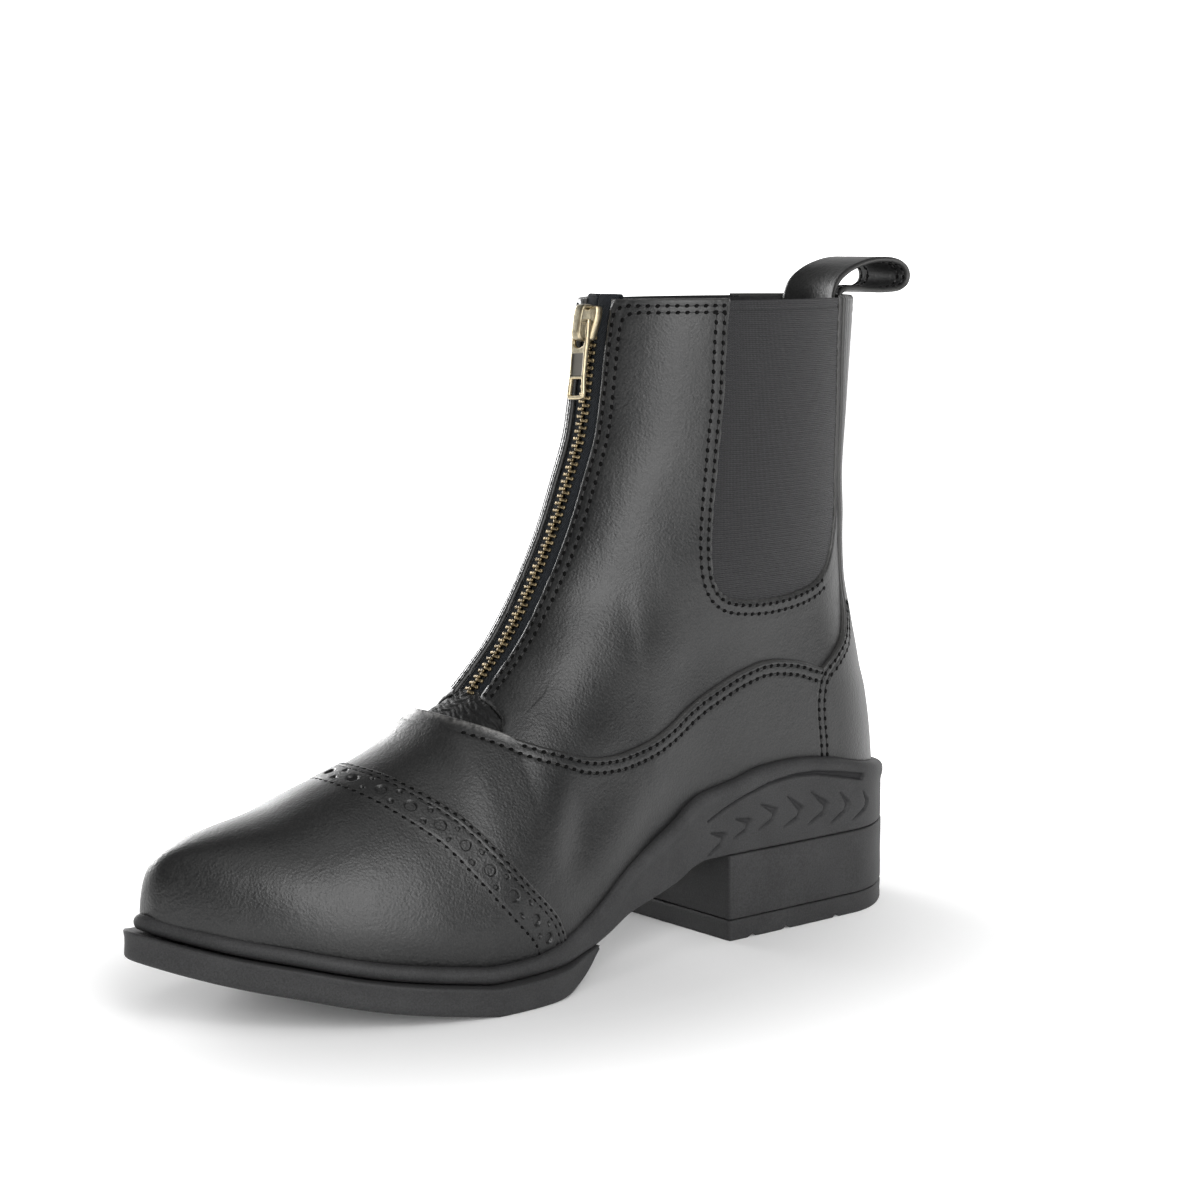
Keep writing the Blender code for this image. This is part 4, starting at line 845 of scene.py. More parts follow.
def overlay(name, turn, up, distances, lastRows, lift, material, relief=None, holeShadeMask=None,
            stitchRows=seamForm["rows"], wearAndRimHighlight=None):
    # columns of equal turn: first rows at set distances from the visible edge, then down to the rubber
    raw = upperRaw(turn, up)
    tangent = smoothTangents(raw, 4)
    _, climb = perUnit(turn, up, raw)
    slope = np.linalg.norm(np.cross(climb, tangent), axis=-1)
    low = randUp(turn, -0.002)
    ups = up[None] - np.array(distances)[:, None] / slope[None]
    share = np.linspace(0, 1, lastRows + 1)[1:, None]
    ups = np.vstack([ups, ups[-1] + (np.minimum(low, ups[-1]) - ups[-1])[None] * share])
    turns = np.repeat(turn[None], len(ups), 0)
    sunk = ups < low[None]
    ups = np.maximum(ups, low[None])
    fine = np.column_stack([np.interp(fineSteps, np.linspace(0, 1, len(turn)), v) for v in (turn, up)])
    far, along = toLine(upperRaw(turns, ups), upperRaw(fine[:, 0], fine[:, 1]))
    far[0] = 0
    rise = lift + edgeProfile(far, stitchRows)
    # painted shade inside punched holes, when a hole mask is given
    pit = np.zeros_like(far) if holeShadeMask is None else holeShadeMask(far, along)
    if relief is not None:
        rise = rise + relief(far, along)
    rise = np.where(sunk, np.minimum(rise, lift * 0.3), rise)
    points = np.vstack([leather(turn, ups[:1], -0.0006), leather(turns, ups, rise)])[::-1]
    # painted highlight along a rolled edge, when a rim mask is given
    rim = np.zeros_like(far) if wearAndRimHighlight is None else wearAndRimHighlight(far, along)
    edge, pit, rim = (np.vstack([v[:1], v])[::-1] for v in (wornEdge(far), pit, rim))
    quads = quadsOf(len(points), len(turn), False)
    return addPiece(name, points, quads, "boot", material,
                    marks=dict(edge=edge, pit=pit, rim=rim))


nearEdge = [0, 0.0001, 0.0003, 0.0006, 0.0009, 0.0012, 0.0015, 0.0018, 0.0021, 0.0025, 0.0030, 0.0034, 0.0038,
            0.0042, 0.0046, 0.0050, 0.0055, 0.0062, 0.0072]

foxingSet = dict(lift=0.0015, columns=520, rows=64, start=0.30, knots=64, rimHalf=0.031, rimFade=0.006,
                 rimWide=0.0011, rimRise=0.0009)


def foxingLine(count):
    # turn and up along the lower panel's top edge, from the counter round the throat to the other counter
    turn = np.linspace(foxingSet["start"], math.pi, 900)
    up = foxingUp(turn)
    return smoothLine(np.append(turn, 2 * math.pi - turn[-2::-1]), np.append(up, up[-2::-1]),
                      foxingSet["knots"], count)


foxTurn, foxRow = foxingLine(foxingSet["columns"])


def throatRim(far, along):
    # 1 on the rolled edge round the throat, fading out inwards and towards both sides
    fromMiddle = np.abs(along - along.max() / 2)
    beside = 1 - ease(fromMiddle, foxingSet["rimHalf"] - foxingSet["rimFade"], foxingSet["rimHalf"])
    return beside * bell(far, foxingSet["rimWide"], foxingSet["rimWide"])


def makeFoxing():
    # the rolled rim round the throat is raised a little and painted with a highlight
    piece = overlay("foxingPanel", foxTurn, foxRow, nearEdge, foxingSet["rows"], foxingSet["lift"],
                    smoothLeather, relief=lambda far, along: foxingSet["rimRise"] * throatRim(
                        far, along), wearAndRimHighlight=throatRim)
    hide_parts("vamp")


makeFoxing()

capSet = dict(lift=0.0021, columns=600, rows=44, knots=34, holeLine=0.0066, holePitch=0.0098, holeRadius=0.00170,
              holeDepth=0.0016, pairApart=0.0023, pairRadius=0.0008, rowsAt=(0.0012, 0.0028, 0.0112), below=0.012,
              holeSlope=0.0004, holeShift=0.0016, pairShare=0.8, band=(0.0112, 0.0124), bandRise=0.0002)


def capLine(count):
    # turn and up along the cap's rear edge, from the outer side over the instep to the inner side
    turn = np.linspace(math.pi * 0.55, math.pi, 900)
    up = capUp(turn)
    first = int(np.argmax(up > randUp(turn) - capSet["below"]))
    turn, up = turn[first:], up[first:]
    return smoothLine(np.append(turn, 2 * math.pi - turn[-2::-1]), np.append(up, up[-2::-1]),
                      capSet["knots"], count)


capTurn, capRow = capLine(capSet["columns"])
capLength = np.linalg.norm(np.diff(upperRaw(capTurn, capRow), axis=0), axis=1).sum()


def holeDips(far, along):
    # 1 inside a punched hole, 0 outside, with a short slope between
    middle = capLength / 2
    beat = (along - middle + capSet["holeShift"]) / capSet["holePitch"]
    off = (beat - np.round(beat)) * capSet["holePitch"]
    big = np.hypot(off, far - capSet["holeLine"])
    half = (beat - np.floor(beat) - 0.5) * capSet["holePitch"]
    small = np.hypot(half, np.abs(far - capSet["holeLine"]) - capSet["pairApart"])
    return np.maximum(1 - ease(big, capSet["holeRadius"] - capSet["holeSlope"], capSet["holeRadius"]),
                      capSet["pairShare"] * (1 - ease(small, capSet["pairRadius"] - capSet["holeSlope"],
                                                      capSet["pairRadius"])))


def makeCap():
    distances = list(np.append(np.array([0, 0.0001, 0.0003]), np.arange(0.0006, 0.0134, 0.00036)))

    def relief(far, along):
        return -capSet["holeDepth"] * holeDips(far, along) + capSet["bandRise"] * (1 - ease(far, *capSet["band"]))
    # the punched holes are dented and painted dark as shade inside them
    piece = overlay("toeCap", capTurn, capRow, distances, capSet["rows"], capSet["lift"],
                    smoothLeather, relief=relief, holeShadeMask=holeDips, stitchRows=capSet["rowsAt"])
    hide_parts("toe_cap")


makeCap()

counterSet = dict(lift=0.0017, columns=150, rows=150, rowsAt=(0.0015, 0.0040), topRows=(0.003, 0.006),
                  foot=0.044, hem=-0.0006)


def makeCounter():
    # the back panel: rows climb from the rubber to the collar, columns run from edge to edge
    z = np.linspace(counterSet["foot"], boot["shaftHeight"] + 0.0002, counterSet["rows"])
    x = smooth(z * 1000, counterEdge["z"], counterEdge["x"]) / 1000
    edgeTurn, edgeUp = toSurface(x, np.minimum(z, boot["shaftHeight"]))
    share = np.sin(np.linspace(-math.pi / 2, math.pi / 2, counterSet["columns"]))
    turn = edgeTurn[:, None] * share[None]
    up = np.repeat(edgeUp[:, None], counterSet["columns"], 1)
    floor = randUp(turn, -0.002)
    sunk = up < floor
    up = np.maximum(up, floor)
    step = np.linalg.norm(np.gradient(leather(turn, up), axis=1), axis=-1)
    fromLeft = np.cumsum(step, axis=1) - step[:, :1]
    far = np.minimum(fromLeft, fromLeft[:, -1:] - fromLeft)
    fromTop = np.clip(boot["shaftHeight"] - z, 0, None)[:, None]
    lift = counterSet["lift"] - 0.0008 * ease(z, 0.098, 0.112)[:, None]
    rise = lift + edgeProfile(far, counterSet["rowsAt"]) + np.minimum(
        edgeProfile(fromTop + 0 * far, counterSet["topRows"]), 0)
    rise = np.where(sunk, -0.0004, rise)
    points = leather(turn, up, rise)
    hems = [leather(turn[:, side], up[:, side], counterSet["hem"]) for side in (slice(0, 1), slice(-1, None))]
    points = np.concatenate([hems[0], points, hems[1]], 1)
    edge = np.pad(wornEdge(np.minimum(far, fromTop)), ((0, 0), (1, 1)), "edge")
    quads = quadsOf(len(points), points.shape[1], False)
    piece = addPiece("heelCounter", points, quads, "boot", smoothLeather,
                     marks=dict(edge=edge))
    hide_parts("heel_counter")


makeCounter()
print("overlays done")


# elastic gores

goreSet = dict(rows=420, columns=46, recess=0.0010, under=0.0025, rib=0.00125, ribDepth=0.00005, wall=0.0011)
goreFront = table("z x", (100, 35.0), (111.7, 39.5), (116.6, 43.0), (125.5, 43.9), (137.4, 43.1), (154.4, 41.1),
                  (171.3, 39.1), (188.3, 38.3), (204, 37.2))
goreBack = table("z x", (100, -4.0), (112.0, -6.0), (116.3, -11.6), (122.6, -16.4), (131, -18.9), (141.6, -19.4),
                 (155, -18.3), (168.8, -16.9), (190, -14.6), (204, -13.8))


def makeGore(name, node, side):
    # rows run up between the opening's two edges, carried a little under the leather all round
    z = np.linspace(0.1086 - goreSet["under"], boot["shaftHeight"] - 0.0006, goreSet["rows"])
    frontX = np.interp(z * 1000, goreFront["z"], goreFront["x"]) / 1000
    backX = np.interp(z * 1000, goreBack["z"], goreBack["x"]) / 1000
    share = np.linspace(0, 1, goreSet["columns"])[None]
    x = (backX - goreSet["under"])[:, None] * (1 - share) + (frontX + goreSet["under"])[:, None] * share
    turn, up = toSurface(x, np.repeat(z[:, None], goreSet["columns"], 1))
    if side < 0:
        turn, up, x = 2 * math.pi - turn[:, ::-1], up[:, ::-1], x[:, ::-1]
    ribs = goreSet["ribDepth"] * np.sin(2 * math.pi * z[:, None] / goreSet["rib"])
    fold = 0.0004 * (1 - ease(np.abs(boot["shaftHeight"] - 0.0036 - z), 0, 0.0005))[:, None]
    points = leather(turn, up, ribs - goreSet["recess"] - fold)
    uv = np.stack([x * 1000, np.repeat(z[:, None], goreSet["columns"], 1) * 1000], -1)
    piece = addPiece(name, points, quadsOf(len(points), goreSet["columns"], False), "boot", elastic,
                     uv=uv)
    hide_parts(node)
    thicken(piece, goreSet["wall"])


makeGore("goreOuter", "gore_outer", 1)
makeGore("goreInner", "gore_inner", -1)


# lining, seen down the collar, and the sock on the insole

liningSet = dict(depth=0.0030, columns=180, rows=90, wall=0.0007, low=0.012, high=0.992, openHalf=0.0045)


def makeLining():
    # the upper's surface once more, further in, left open behind the zip
    turn = np.linspace(0, 2 * math.pi, liningSet["columns"], endpoint=False)[None]
    up = np.linspace(liningSet["low"], liningSet["high"], liningSet["rows"])[:, None]
    turn, up = np.broadcast_arrays(turn, up)
    points = leather(turn, up, -liningSet["depth"])
    x, y, z = points[..., 0], points[..., 1], points[..., 2]
    behindZip = (np.abs(y) < liningSet["openHalf"]) & (x > 0.03) & (z > boot["instepHeight"] + 0.001)
    quads = quadsOf(len(points), liningSet["columns"], True)
    quads = quads[~behindZip.ravel()[quads].all(axis=1)]
    piece = addPiece("lining", points, quads, "boot", suede)
    thicken(piece, liningSet["wall"])


makeLining()


def ringOn(turn, inset, height):
    # ring on the outsole's outline, moved inwards along its normal, at a height that depends on x
    fine = np.linspace(0, 2 * math.pi, 1600, endpoint=False)
    x = boot["soleLength"] * (1 - np.cos(fine)) / 2
    outer, inner = soleSides(x / boot["soleLength"])
    y = np.where(np.sin(fine) >= 0, outer, inner)
    along = unit(np.stack([np.roll(x, -1) - np.roll(x, 1), np.roll(y, -1) - np.roll(y, 1)], -1))
    for _ in range(3):
        along = unit(np.roll(along, 1, 0) + along * 2 + np.roll(along, -1, 0))

    def at(values):
        return np.interp(turn, np.append(fine, 2 * math.pi), np.append(values, values[0]))
    px, py, tx, ty = at(x), at(y), at(along[:, 0]), at(along[:, 1])
    push = inset(px) if callable(inset) else inset
    ringX, ringY = px + ty * push, py - tx * push
    return np.stack([ringX - boot["heelRest"], ringY, height(ringX)], -1)


def evenTurns(count, dense=1.0):
    # turns that space the columns evenly along the outline, closer together at the heel
    fine = np.linspace(0, 2 * math.pi, 4000)
    x = boot["soleLength"] * (1 - np.cos(fine)) / 2
    outer, inner = soleSides(x / boot["soleLength"])
    y = np.where(np.sin(fine) >= 0, outer, inner)
    length = np.hypot(np.diff(x), np.diff(y)) * np.where(x[1:] < 0.105, dense, 1.0)
    run = np.append(0, np.cumsum(length))
    return np.interp(np.linspace(0, run[-1], count, endpoint=False), run, fine)


sockSet = dict(columns=160, rows=14, up=0.017, inside=0.0034, dish=0.0006, wall=0.0012,
               middleX=(-0.05, 0.1, 0.22), middleY=(0, 0, -0.008))


def makeSock():
    # rings from the leather's foot inwards to the sole's middle line, dished a little
    columns, rows = sockSet["columns"], sockSet["rows"]
    turn = np.linspace(0, 2 * math.pi, columns, endpoint=False)
    rim = leather(turn, np.full(columns, sockSet["up"]), -sockSet["inside"])
    middle = rim.copy()
    middle[:, 1] = np.interp(middle[:, 0], sockSet["middleX"], sockSet["middleY"])
    blend = np.linspace(0, 1, rows)[:, None, None]
    points = rim[None] * (1 - blend) + middle[None] * blend
    points[..., 2] -= sockSet["dish"] * np.sin(blend[..., 0] * math.pi / 2)
    piece = addPiece("sock", points[::-1], quadsOf(rows, columns, True)[:, ::-1], "boot", suede,
                     weld=0.00002)
    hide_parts("insole")
    thicken(piece, sockSet["wall"], 1.0)


makeSock()
print("inside done")


# rubber: moulded unit with its bead, slot and chevrons

unitSet = dict(columns=760, rows=64, slotDepth=0.0011, chevronDepth=0.0009, dense=2.6, beadRadius=0.0026,
               topRound=0.0022, lowRound=0.0018, cupLowRound=0.0005, cupCorner=0.0006, band=0.0006, bandDrop=0.0002,
               bandFrom=0.0035, bandTo=0.0068)
slotLine = np.array([(47.6, 40.5), (40, 43.6), (32.5, 46.3), (20.8, 49.3), (9.9, 50.5), (0.7, 50.1), (-11.6, 47.9),
                     (-21.1, 45.9)]) / 1000
slotWidth = np.array([0.22, 0.26, 0.32, 0.42, 0.55, 0.70, 0.95, 1.15]) / 1000
chevrons = table(  # start of the short top stroke, tip, end of the long lower stroke, in mm
    "topX topZ tipX tipZ lowX lowZ thick",
    (46.4, 36.6, 40.3, 34.9, 48.0, 29.3, 1.00),
    (35.7, 39.6, 29.6, 38.0, 36.4, 33.3, 1.05),
    (24.6, 42.9, 18.2, 39.7, 25.6, 34.6, 1.20),
    (12.9, 43.9, 6.8, 38.9, 14.6, 34.0, 1.10),
    (2.4, 43.9, -4.8, 38.8, 3.6, 33.3, 1.10),
    (-11.2, 42.0, -14.9, 37.9, -7.0, 32.3, 0.95),
    (-22.5, 40.7, -24.9, 37.2, -17.4, 31.7, 0.80))


def taperedStroke(x, z, ax, az, bx, bz, ra, rb):
    # how far inside a stroke a point is, its radius going evenly from ra to rb
    dx, dz = bx - ax, bz - az
    t = np.clip(((x - ax) * dx + (z - az) * dz) / (dx * dx + dz * dz), 0, 1)
    return ra + (rb - ra) * t - np.hypot(x - ax - dx * t, z - az - dz * t)


def sideCuts(x, z):
    # depth share of the slot and the chevrons at a point of the heel cup's side
    x, z = x * 1000, z * 1000
    deep = np.full(x.shape, -9.0)
    for (ax, az), (bx, bz), ra, rb in zip(slotLine[:-1] * 1000, slotLine[1:] * 1000, slotWidth[:-1] * 1000,
                                          slotWidth[1:] * 1000):
        deep = np.maximum(deep, taperedStroke(x, z, ax, az, bx, bz, ra, rb))
    slot = ease(deep, -0.25, 0.25)
    deep = np.full(x.shape, -9.0)
    for k in range(len(chevrons["topX"])):
        row = {key: values[k] for key, values in chevrons.items()}
        deep = np.maximum(deep, taperedStroke(x, z, row["tipX"], row["tipZ"], row["topX"], row["topZ"],
                                              row["thick"], 0.15))
        bendX, bendZ = row["tipX"] + 1.2, row["tipZ"] - 2.4
        deep = np.maximum(deep, taperedStroke(x, z, row["tipX"], row["tipZ"], bendX, bendZ, row["thick"], 0.55))
        deep = np.maximum(deep, taperedStroke(x, z, bendX, bendZ, row["lowX"], row["lowZ"], 0.55, 0.10))
    return slot, ease(deep, -0.25, 0.3)


def makeUnit():
    turn = evenTurns(unitSet["columns"], unitSet["dense"])
    rows = unitSet["rows"]

    def inset(x):
        return boot["cupInset"] + (boot["beadInset"] - boot["cupInset"]) * ease(x / boot["soleLength"], 0.40, 0.62)
    share = np.linspace(0, 1, rows)
    # from under the unit, out over the rounded lower corner, up the wall, over the lip and in to the leather
    wall = np.array([ringOn(turn, inset, lambda x, s=s: underside(x) + (randTop(x) - underside(x)) * s)
                     for s in share])
    x = wall[0, :, 0] + boot["heelRest"]
    tall = randTop(x) - underside(x)
    down = tall[None] * share[:, None]
    fromTop = tall[None] - down
    cup = ease(tall, 0.008, 0.016)[None]
    # the bead is a full round; on the cup it stays as a soft band along the top edge
    radius = np.minimum(unitSet["beadRadius"], tall / 2)[None]
    top = np.clip(1 - fromTop / radius, 0, 1)
    bottom = np.clip(1 - down / (radius * (1 - cup) + unitSet["cupCorner"] * cup), 0, 1)
    lowRound = unitSet["lowRound"] * (1 - cup) + unitSet["cupLowRound"] * cup
    push = -unitSet["topRound"] * (1 - np.sqrt(1 - top ** 2 * 0.999)) - lowRound * (
        1 - np.sqrt(1 - bottom ** 2 * 0.999))
    band = unitSet["band"] * (1 - ease(fromTop, unitSet["bandFrom"], unitSet["bandTo"]))
    push = push + cup * (band - unitSet["bandDrop"])
    slot, chevron = sideCuts(wall[..., 0], wall[..., 2])
    push = push - unitSet["slotDepth"] * slot - unitSet["chevronDepth"] * chevron
    ring = wall[rows // 2]
    outwards = unit(np.cross(np.roll(ring, -1, 0) - np.roll(ring, 1, 0), np.array([0, 0, 1.0])))
    outwards[:, 2] = 0
    fromMiddle = ring - ring.mean(0)
    outwards = unit(outwards) * np.sign(np.median((outwards * fromMiddle).sum(-1)))
    points = wall + outwards[None] * push[..., None]
    lip = randUp(turn)
    inner = [leather(turn, lip * s, d) for s, d in ((1.0, 0.0001), (0.985, -0.0012))]
    under = ringOn(turn, lambda x: inset(x) + 0.006, underside)
    points = np.vstack([under[None], points, np.array(inner)])
    # painted shade mask: the slot and the chevrons fully, the lip under the leather partly, none under the sole
    mark = np.maximum(slot, chevron * 0.55)
    mark = np.vstack([mark[:1] * 0, mark, mark[:2] * 0 + 0.3])
    piece = addPiece("soleUnit", points, quadsOf(len(points), len(turn), True), "boot", rubber,
                     marks=dict(edge=mark))
    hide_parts("sole_unit")


makeUnit()
plateSet = dict(columns=420, tailFrom=0.54, tailTo=0.64, crossRows=10)


def makePlate():
    # side wall of the plate with a small sharp lip on top, closed by flat faces from side to side
    tail = math.acos(1 - 2 * tailLine["along"][0])
    half = np.linspace(tail, math.pi, plateSet["columns"] // 2)
    turn = np.append(half, 2 * math.pi - half[-2::-1])
    profile = [(0.0010, 0.0), (0.0004, 0.04), (0.0001, 0.12), (0.0002, 0.3), (0.0003, 0.5), (0.0003, 0.7),
               (0.0001, 0.85), (0.0, 0.93), (0.0003, 0.98), (0.0012, 1.0)]

    def drawnIn(push):
        # near its tail the plate's side comes in to the side of the unit above it
        return lambda x: push + boot["beadInset"] * 0.8 * (
            1 - ease(x / boot["soleLength"], plateSet["tailFrom"], plateSet["tailTo"]))

    def heightAt(share):
        return lambda x: plateBottom(x) + (underside(x) - boot["gap"] - plateBottom(x)) * share
    rings = [ringOn(turn, drawnIn(push), heightAt(share)) for push, share in profile]

    def crossed(ring):
        # rows that carry the ring straight across to its other side
        blend = np.linspace(0, 0.5, plateSet["crossRows"])[1:, None, None]
        return ring[None] * (1 - blend) + ring[::-1][None] * blend
    low, high = crossed(rings[0]), crossed(rings[-1])
    points = np.vstack([low[::-1], np.array(rings), high])
    quads = quadsOf(len(points), points.shape[1], True)
    piece = addPiece("treadPlate", points, quads, "boot", rubber, weld=0.00002)
    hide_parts("outsole_plate")


makePlate()
heelSet = dict(columns=240, grooves=(0.455, 0.716, 0.886), grooveHalf=0.0016, grooveHeight=0.0012,
               corner=0.0008, soft=0.0005)


def heelRing(columns):
    # D outline of the heel: the sole's outline behind the breast, then straight across
    turn = evenTurns(1600, 1.0)
    ring = ringOn(turn, boot["cupInset"], underside)
    x = ring[:, 0] + boot["heelRest"]
    outerSide = ring[(x < boot["heelLength"]) & (turn < math.pi)]
    innerSide = ring[(x < boot["heelLength"]) & (turn >= math.pi)]
    breast = boot["heelLength"] - boot["heelRest"]
    corner = heelSet["corner"]
    outerY, innerY = outerSide[-1, 1], innerSide[0, 1]
    path = np.vstack([outerSide[:, :2], [(breast - corner * 0.3, outerY), (breast, outerY - corner)],
                      [(breast, innerY + corner), (breast - corner * 0.3, innerY)], innerSide[:, :2]])
    path = np.vstack([path, path[:1]])
    return resample(path, columns + 1)[:-1]


def makeHeel(name, node, low, high, notches):
    ring = heelRing(heelSet["columns"])
    outwards = unit(ring - ring.mean(0))
    soft = heelSet["soft"]
    profile = [(-0.006, 0.0), (-soft, 0.0), (-soft * 0.3, soft * 0.3), (0, soft), (0, 0.25 * (high - low)),
               (-0.0001, 0.5 * (high - low)), (0, 0.75 * (high - low)), (0, high - low - soft),
               (-soft * 0.3, high - low - soft * 0.3), (-soft, high - low), (-0.006, high - low)]
    rings = []
    for push, rise in profile:
        place = ring + outwards * push
        z = np.full(len(ring), low + rise)
        if notches and rise <= soft:
            for share in heelSet["grooves"]:
                away = np.abs(place[:, 0] + boot["heelRest"] - share * boot["heelLength"])
                z = z + heelSet["grooveHeight"] * np.clip(1 - away / heelSet["grooveHalf"], 0, 1)
        rings.append(np.column_stack([place, z]))
    # flat faces: each end's ring is carried to the middle line
    caps = [np.column_stack([ring[:, 0], ring[:, 1] * 0, np.full(len(ring), z)]) for z in (low, high)]
    points = np.array([caps[0]] + rings + [caps[1]])
    piece = addPiece(name, points, quadsOf(len(points), len(ring), True), "boot", rubber, weld=0.00002)
    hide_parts(node)


makeHeel("heelBlock", "heel_block", boot["topLift"] + boot["gap"], boot["heelHeight"] - boot["gap"], False)
makeHeel("topLift", "top_lift", 0.0, boot["topLift"], True)
print("rubber done")


# zip: cloth, teeth, slider, pull tab

zipSet = dict(cloth=0.0085, gap=0.0004, depth=0.0016, start=-0.0010, toothStart=0.0014, toothPitch=0.00235,
              sliderDrop=0.0078, wall=0.0007,
              # how far back and up the cloth's end goes past the collar, step by step
              endFold=((0.0001, 0.0008), (0.0005, 0.0014), (0.0011, 0.0016), (0.0017, 0.0012), (0.0020, 0.0)),
              # width, length along the zip, height and middle of a tooth's bar, head and foot, in mm
              toothParts=((2.5, 0.80, 1.0, 1.05), (0.9, 1.05, 1.25, 0.25), (0.8, 1.15, 0.9, 2.1)))


def zipFrame(up, across, lift):
    # a line up the front of the shaft, a distance to one side of its middle
    return leather(frontTurn(up, across), up, lift)


def zipStart(above):
    # share up the shaft's front at a height above the instep
    return (boot["instepHeight"] + above - feather(instepX)) / (boot["shaftHeight"] - feather(instepX))


def makeCloth(name, node, side):
    up = np.linspace(zipStart(zipSet["start"]), 1.0, 160)
    across = np.linspace(zipSet["cloth"], zipSet["gap"], 12) if side > 0 else np.linspace(
        -zipSet["gap"], -zipSet["cloth"], 12)
    points = np.array([zipFrame(up, a, -zipSet["depth"] - 0.24 * max(abs(a) - 0.0062, 0)) for a in across])
    points = points.transpose(1, 0, 2)
    # the cloth's end stands up past the collar, folded over to the inside
    ends = np.array([points[-1] + np.array([-back, 0, rise]) for back, rise in zipSet["endFold"]])
    points = np.concatenate([points, ends])
    run = runAlong(points[:, 5])
    uv = np.stack(np.broadcast_arrays(across[None] * 1000, run[:, None] * 1000), -1)
    piece = addPiece(name, points, quadsOf(len(points), len(across), False), "boot", zipCloth, uv=uv)
    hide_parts(node)
    thicken(piece, zipSet["wall"])


makeCloth("zipClothOuter", "zip_tape_left", 1)
makeCloth("zipClothInner", "zip_tape_right", -1)


def copies(template, quads, origins, axisA, axisB, axisC):
    # one small shape set at many places: local x, y, z along the three axes given for each place
    placed = (origins[:, None] + template[None, :, :1] * axisA[:, None] + template[None, :, 1:2] * axisB[:, None]
              + template[None, :, 2:3] * axisC[:, None])
    faces = quads[None] + (np.arange(len(origins)) * len(template))[:, None, None]
    return placed.reshape(-1, 3), faces.reshape(-1, quads.shape[1])


def roundedBlock(width, length, height, corner=0.3):
    # a box whose top narrows in one step, as rings from bottom to top, ends closed by a point row
    ring = np.array([(-1, -1), (1, -1), (1, 1), (-1, 1)], float)
    levels = [(0.0, 0.0), (1.0, 0.0), (1.0, 1 - corner), (1 - corner, 1.0), (0.0, 1.0)]
    points = np.array([np.column_stack([ring[:, 0] * width / 2 * s, ring[:, 1] * length / 2 * s,
                                        np.full(4, height * t)]) for s, t in levels])
    return points.reshape(-1, 3), quadsOf(len(levels), 4, True)[:, ::-1]


def makeTeeth():
    low = zipStart(zipSet["toothStart"])
    high = (boot["shaftHeight"] - zipSet["sliderDrop"] - 0.002 - feather(collarFront)) / (
        boot["shaftHeight"] - feather(collarFront))
    line = resample(zipFrame(np.linspace(low, high, 1500), 0.0, -zipSet["depth"]), 44)
    line = splineThrough(line, 1200)
    run = runAlong(line)
    place = pick(np.arange(0, run[-1], zipSet["toothPitch"] / 2), run, line)
    along = unit(np.gradient(place, axis=0))
    across = np.tile(np.array([0.0, 1.0, 0.0]), (len(place), 1))
    out = unit(np.cross(across, along))
    out *= np.sign(out[:, :1])
    side = np.where(np.arange(len(place)) % 2 == 0, 1.0, -1.0)[:, None]
    parts = []
    for width, length, height, middle in zipSet["toothParts"]:
        shape, faces = roundedBlock(width / 1000, length / 1000, height / 1000, 0.35)
        parts.append(copies(shape, faces, place + across * side * middle / 1000, across, along, out))
    counts = np.cumsum([0] + [len(points) for points, _ in parts])
    points = np.vstack([points for points, _ in parts])
    quads = np.vstack([faces + first for (_, faces), first in zip(parts, counts)])
    piece = addPiece("zipTeeth", points, quads, "boot", toothBrass, weld=0.000005)
    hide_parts("zip_chain")


makeTeeth()
print("zip done")


# pull loop

loopSet = dict(width=0.024, wall=0.0018, columns=25, rows=190, straightFrom=(0.10, 0.32), straightTo=(0.74, 0.88),
               edgeRound=0.0009, rowsAt=(0.0022, 0.0046), rowDeep=0.00018, rowWide=0.0005, sewn=(0.20, 0.86))
loopPath = [(-6.9, -15.4), (-6.9, -7), (-6.9, 0.2), (-5.4, 4.6), (-1.5, 8.0), (4.2, 10.2), (10.5, 11.3),
            (17.0, 11.3), (21.7, 10.3), (24.3, 8.5), (25.3, 5.9), (24.2, 3.3), (21.4, 1.8), (17.0, 1.3),
            (11.5, 1.2), (6.0, 1.5), (1.5, 2.0), (-1.8, 1.9), (-3.7, 0.7), (-4.2, -2.0), (-4.2, -8),
            (-4.2, -15.4)]


def loopLine():
    # the strap's side view: x and height from millimetres behind and above the collar's back, and how
    # straight it runs across
    line = splineThrough(np.array(loopPath) / 1000, loopSet["rows"])
    share = np.linspace(0, 1, len(line))
    straight = ease(share, *loopSet["straightFrom"]) * (1 - ease(share, *loopSet["straightTo"]))
    z = boot["shaftHeight"] + line[:, 1]
    x = backAt(np.minimum(z, boot["shaftHeight"])) - line[:, 0] - boot["heelRest"]
    return np.column_stack([x, z, straight])


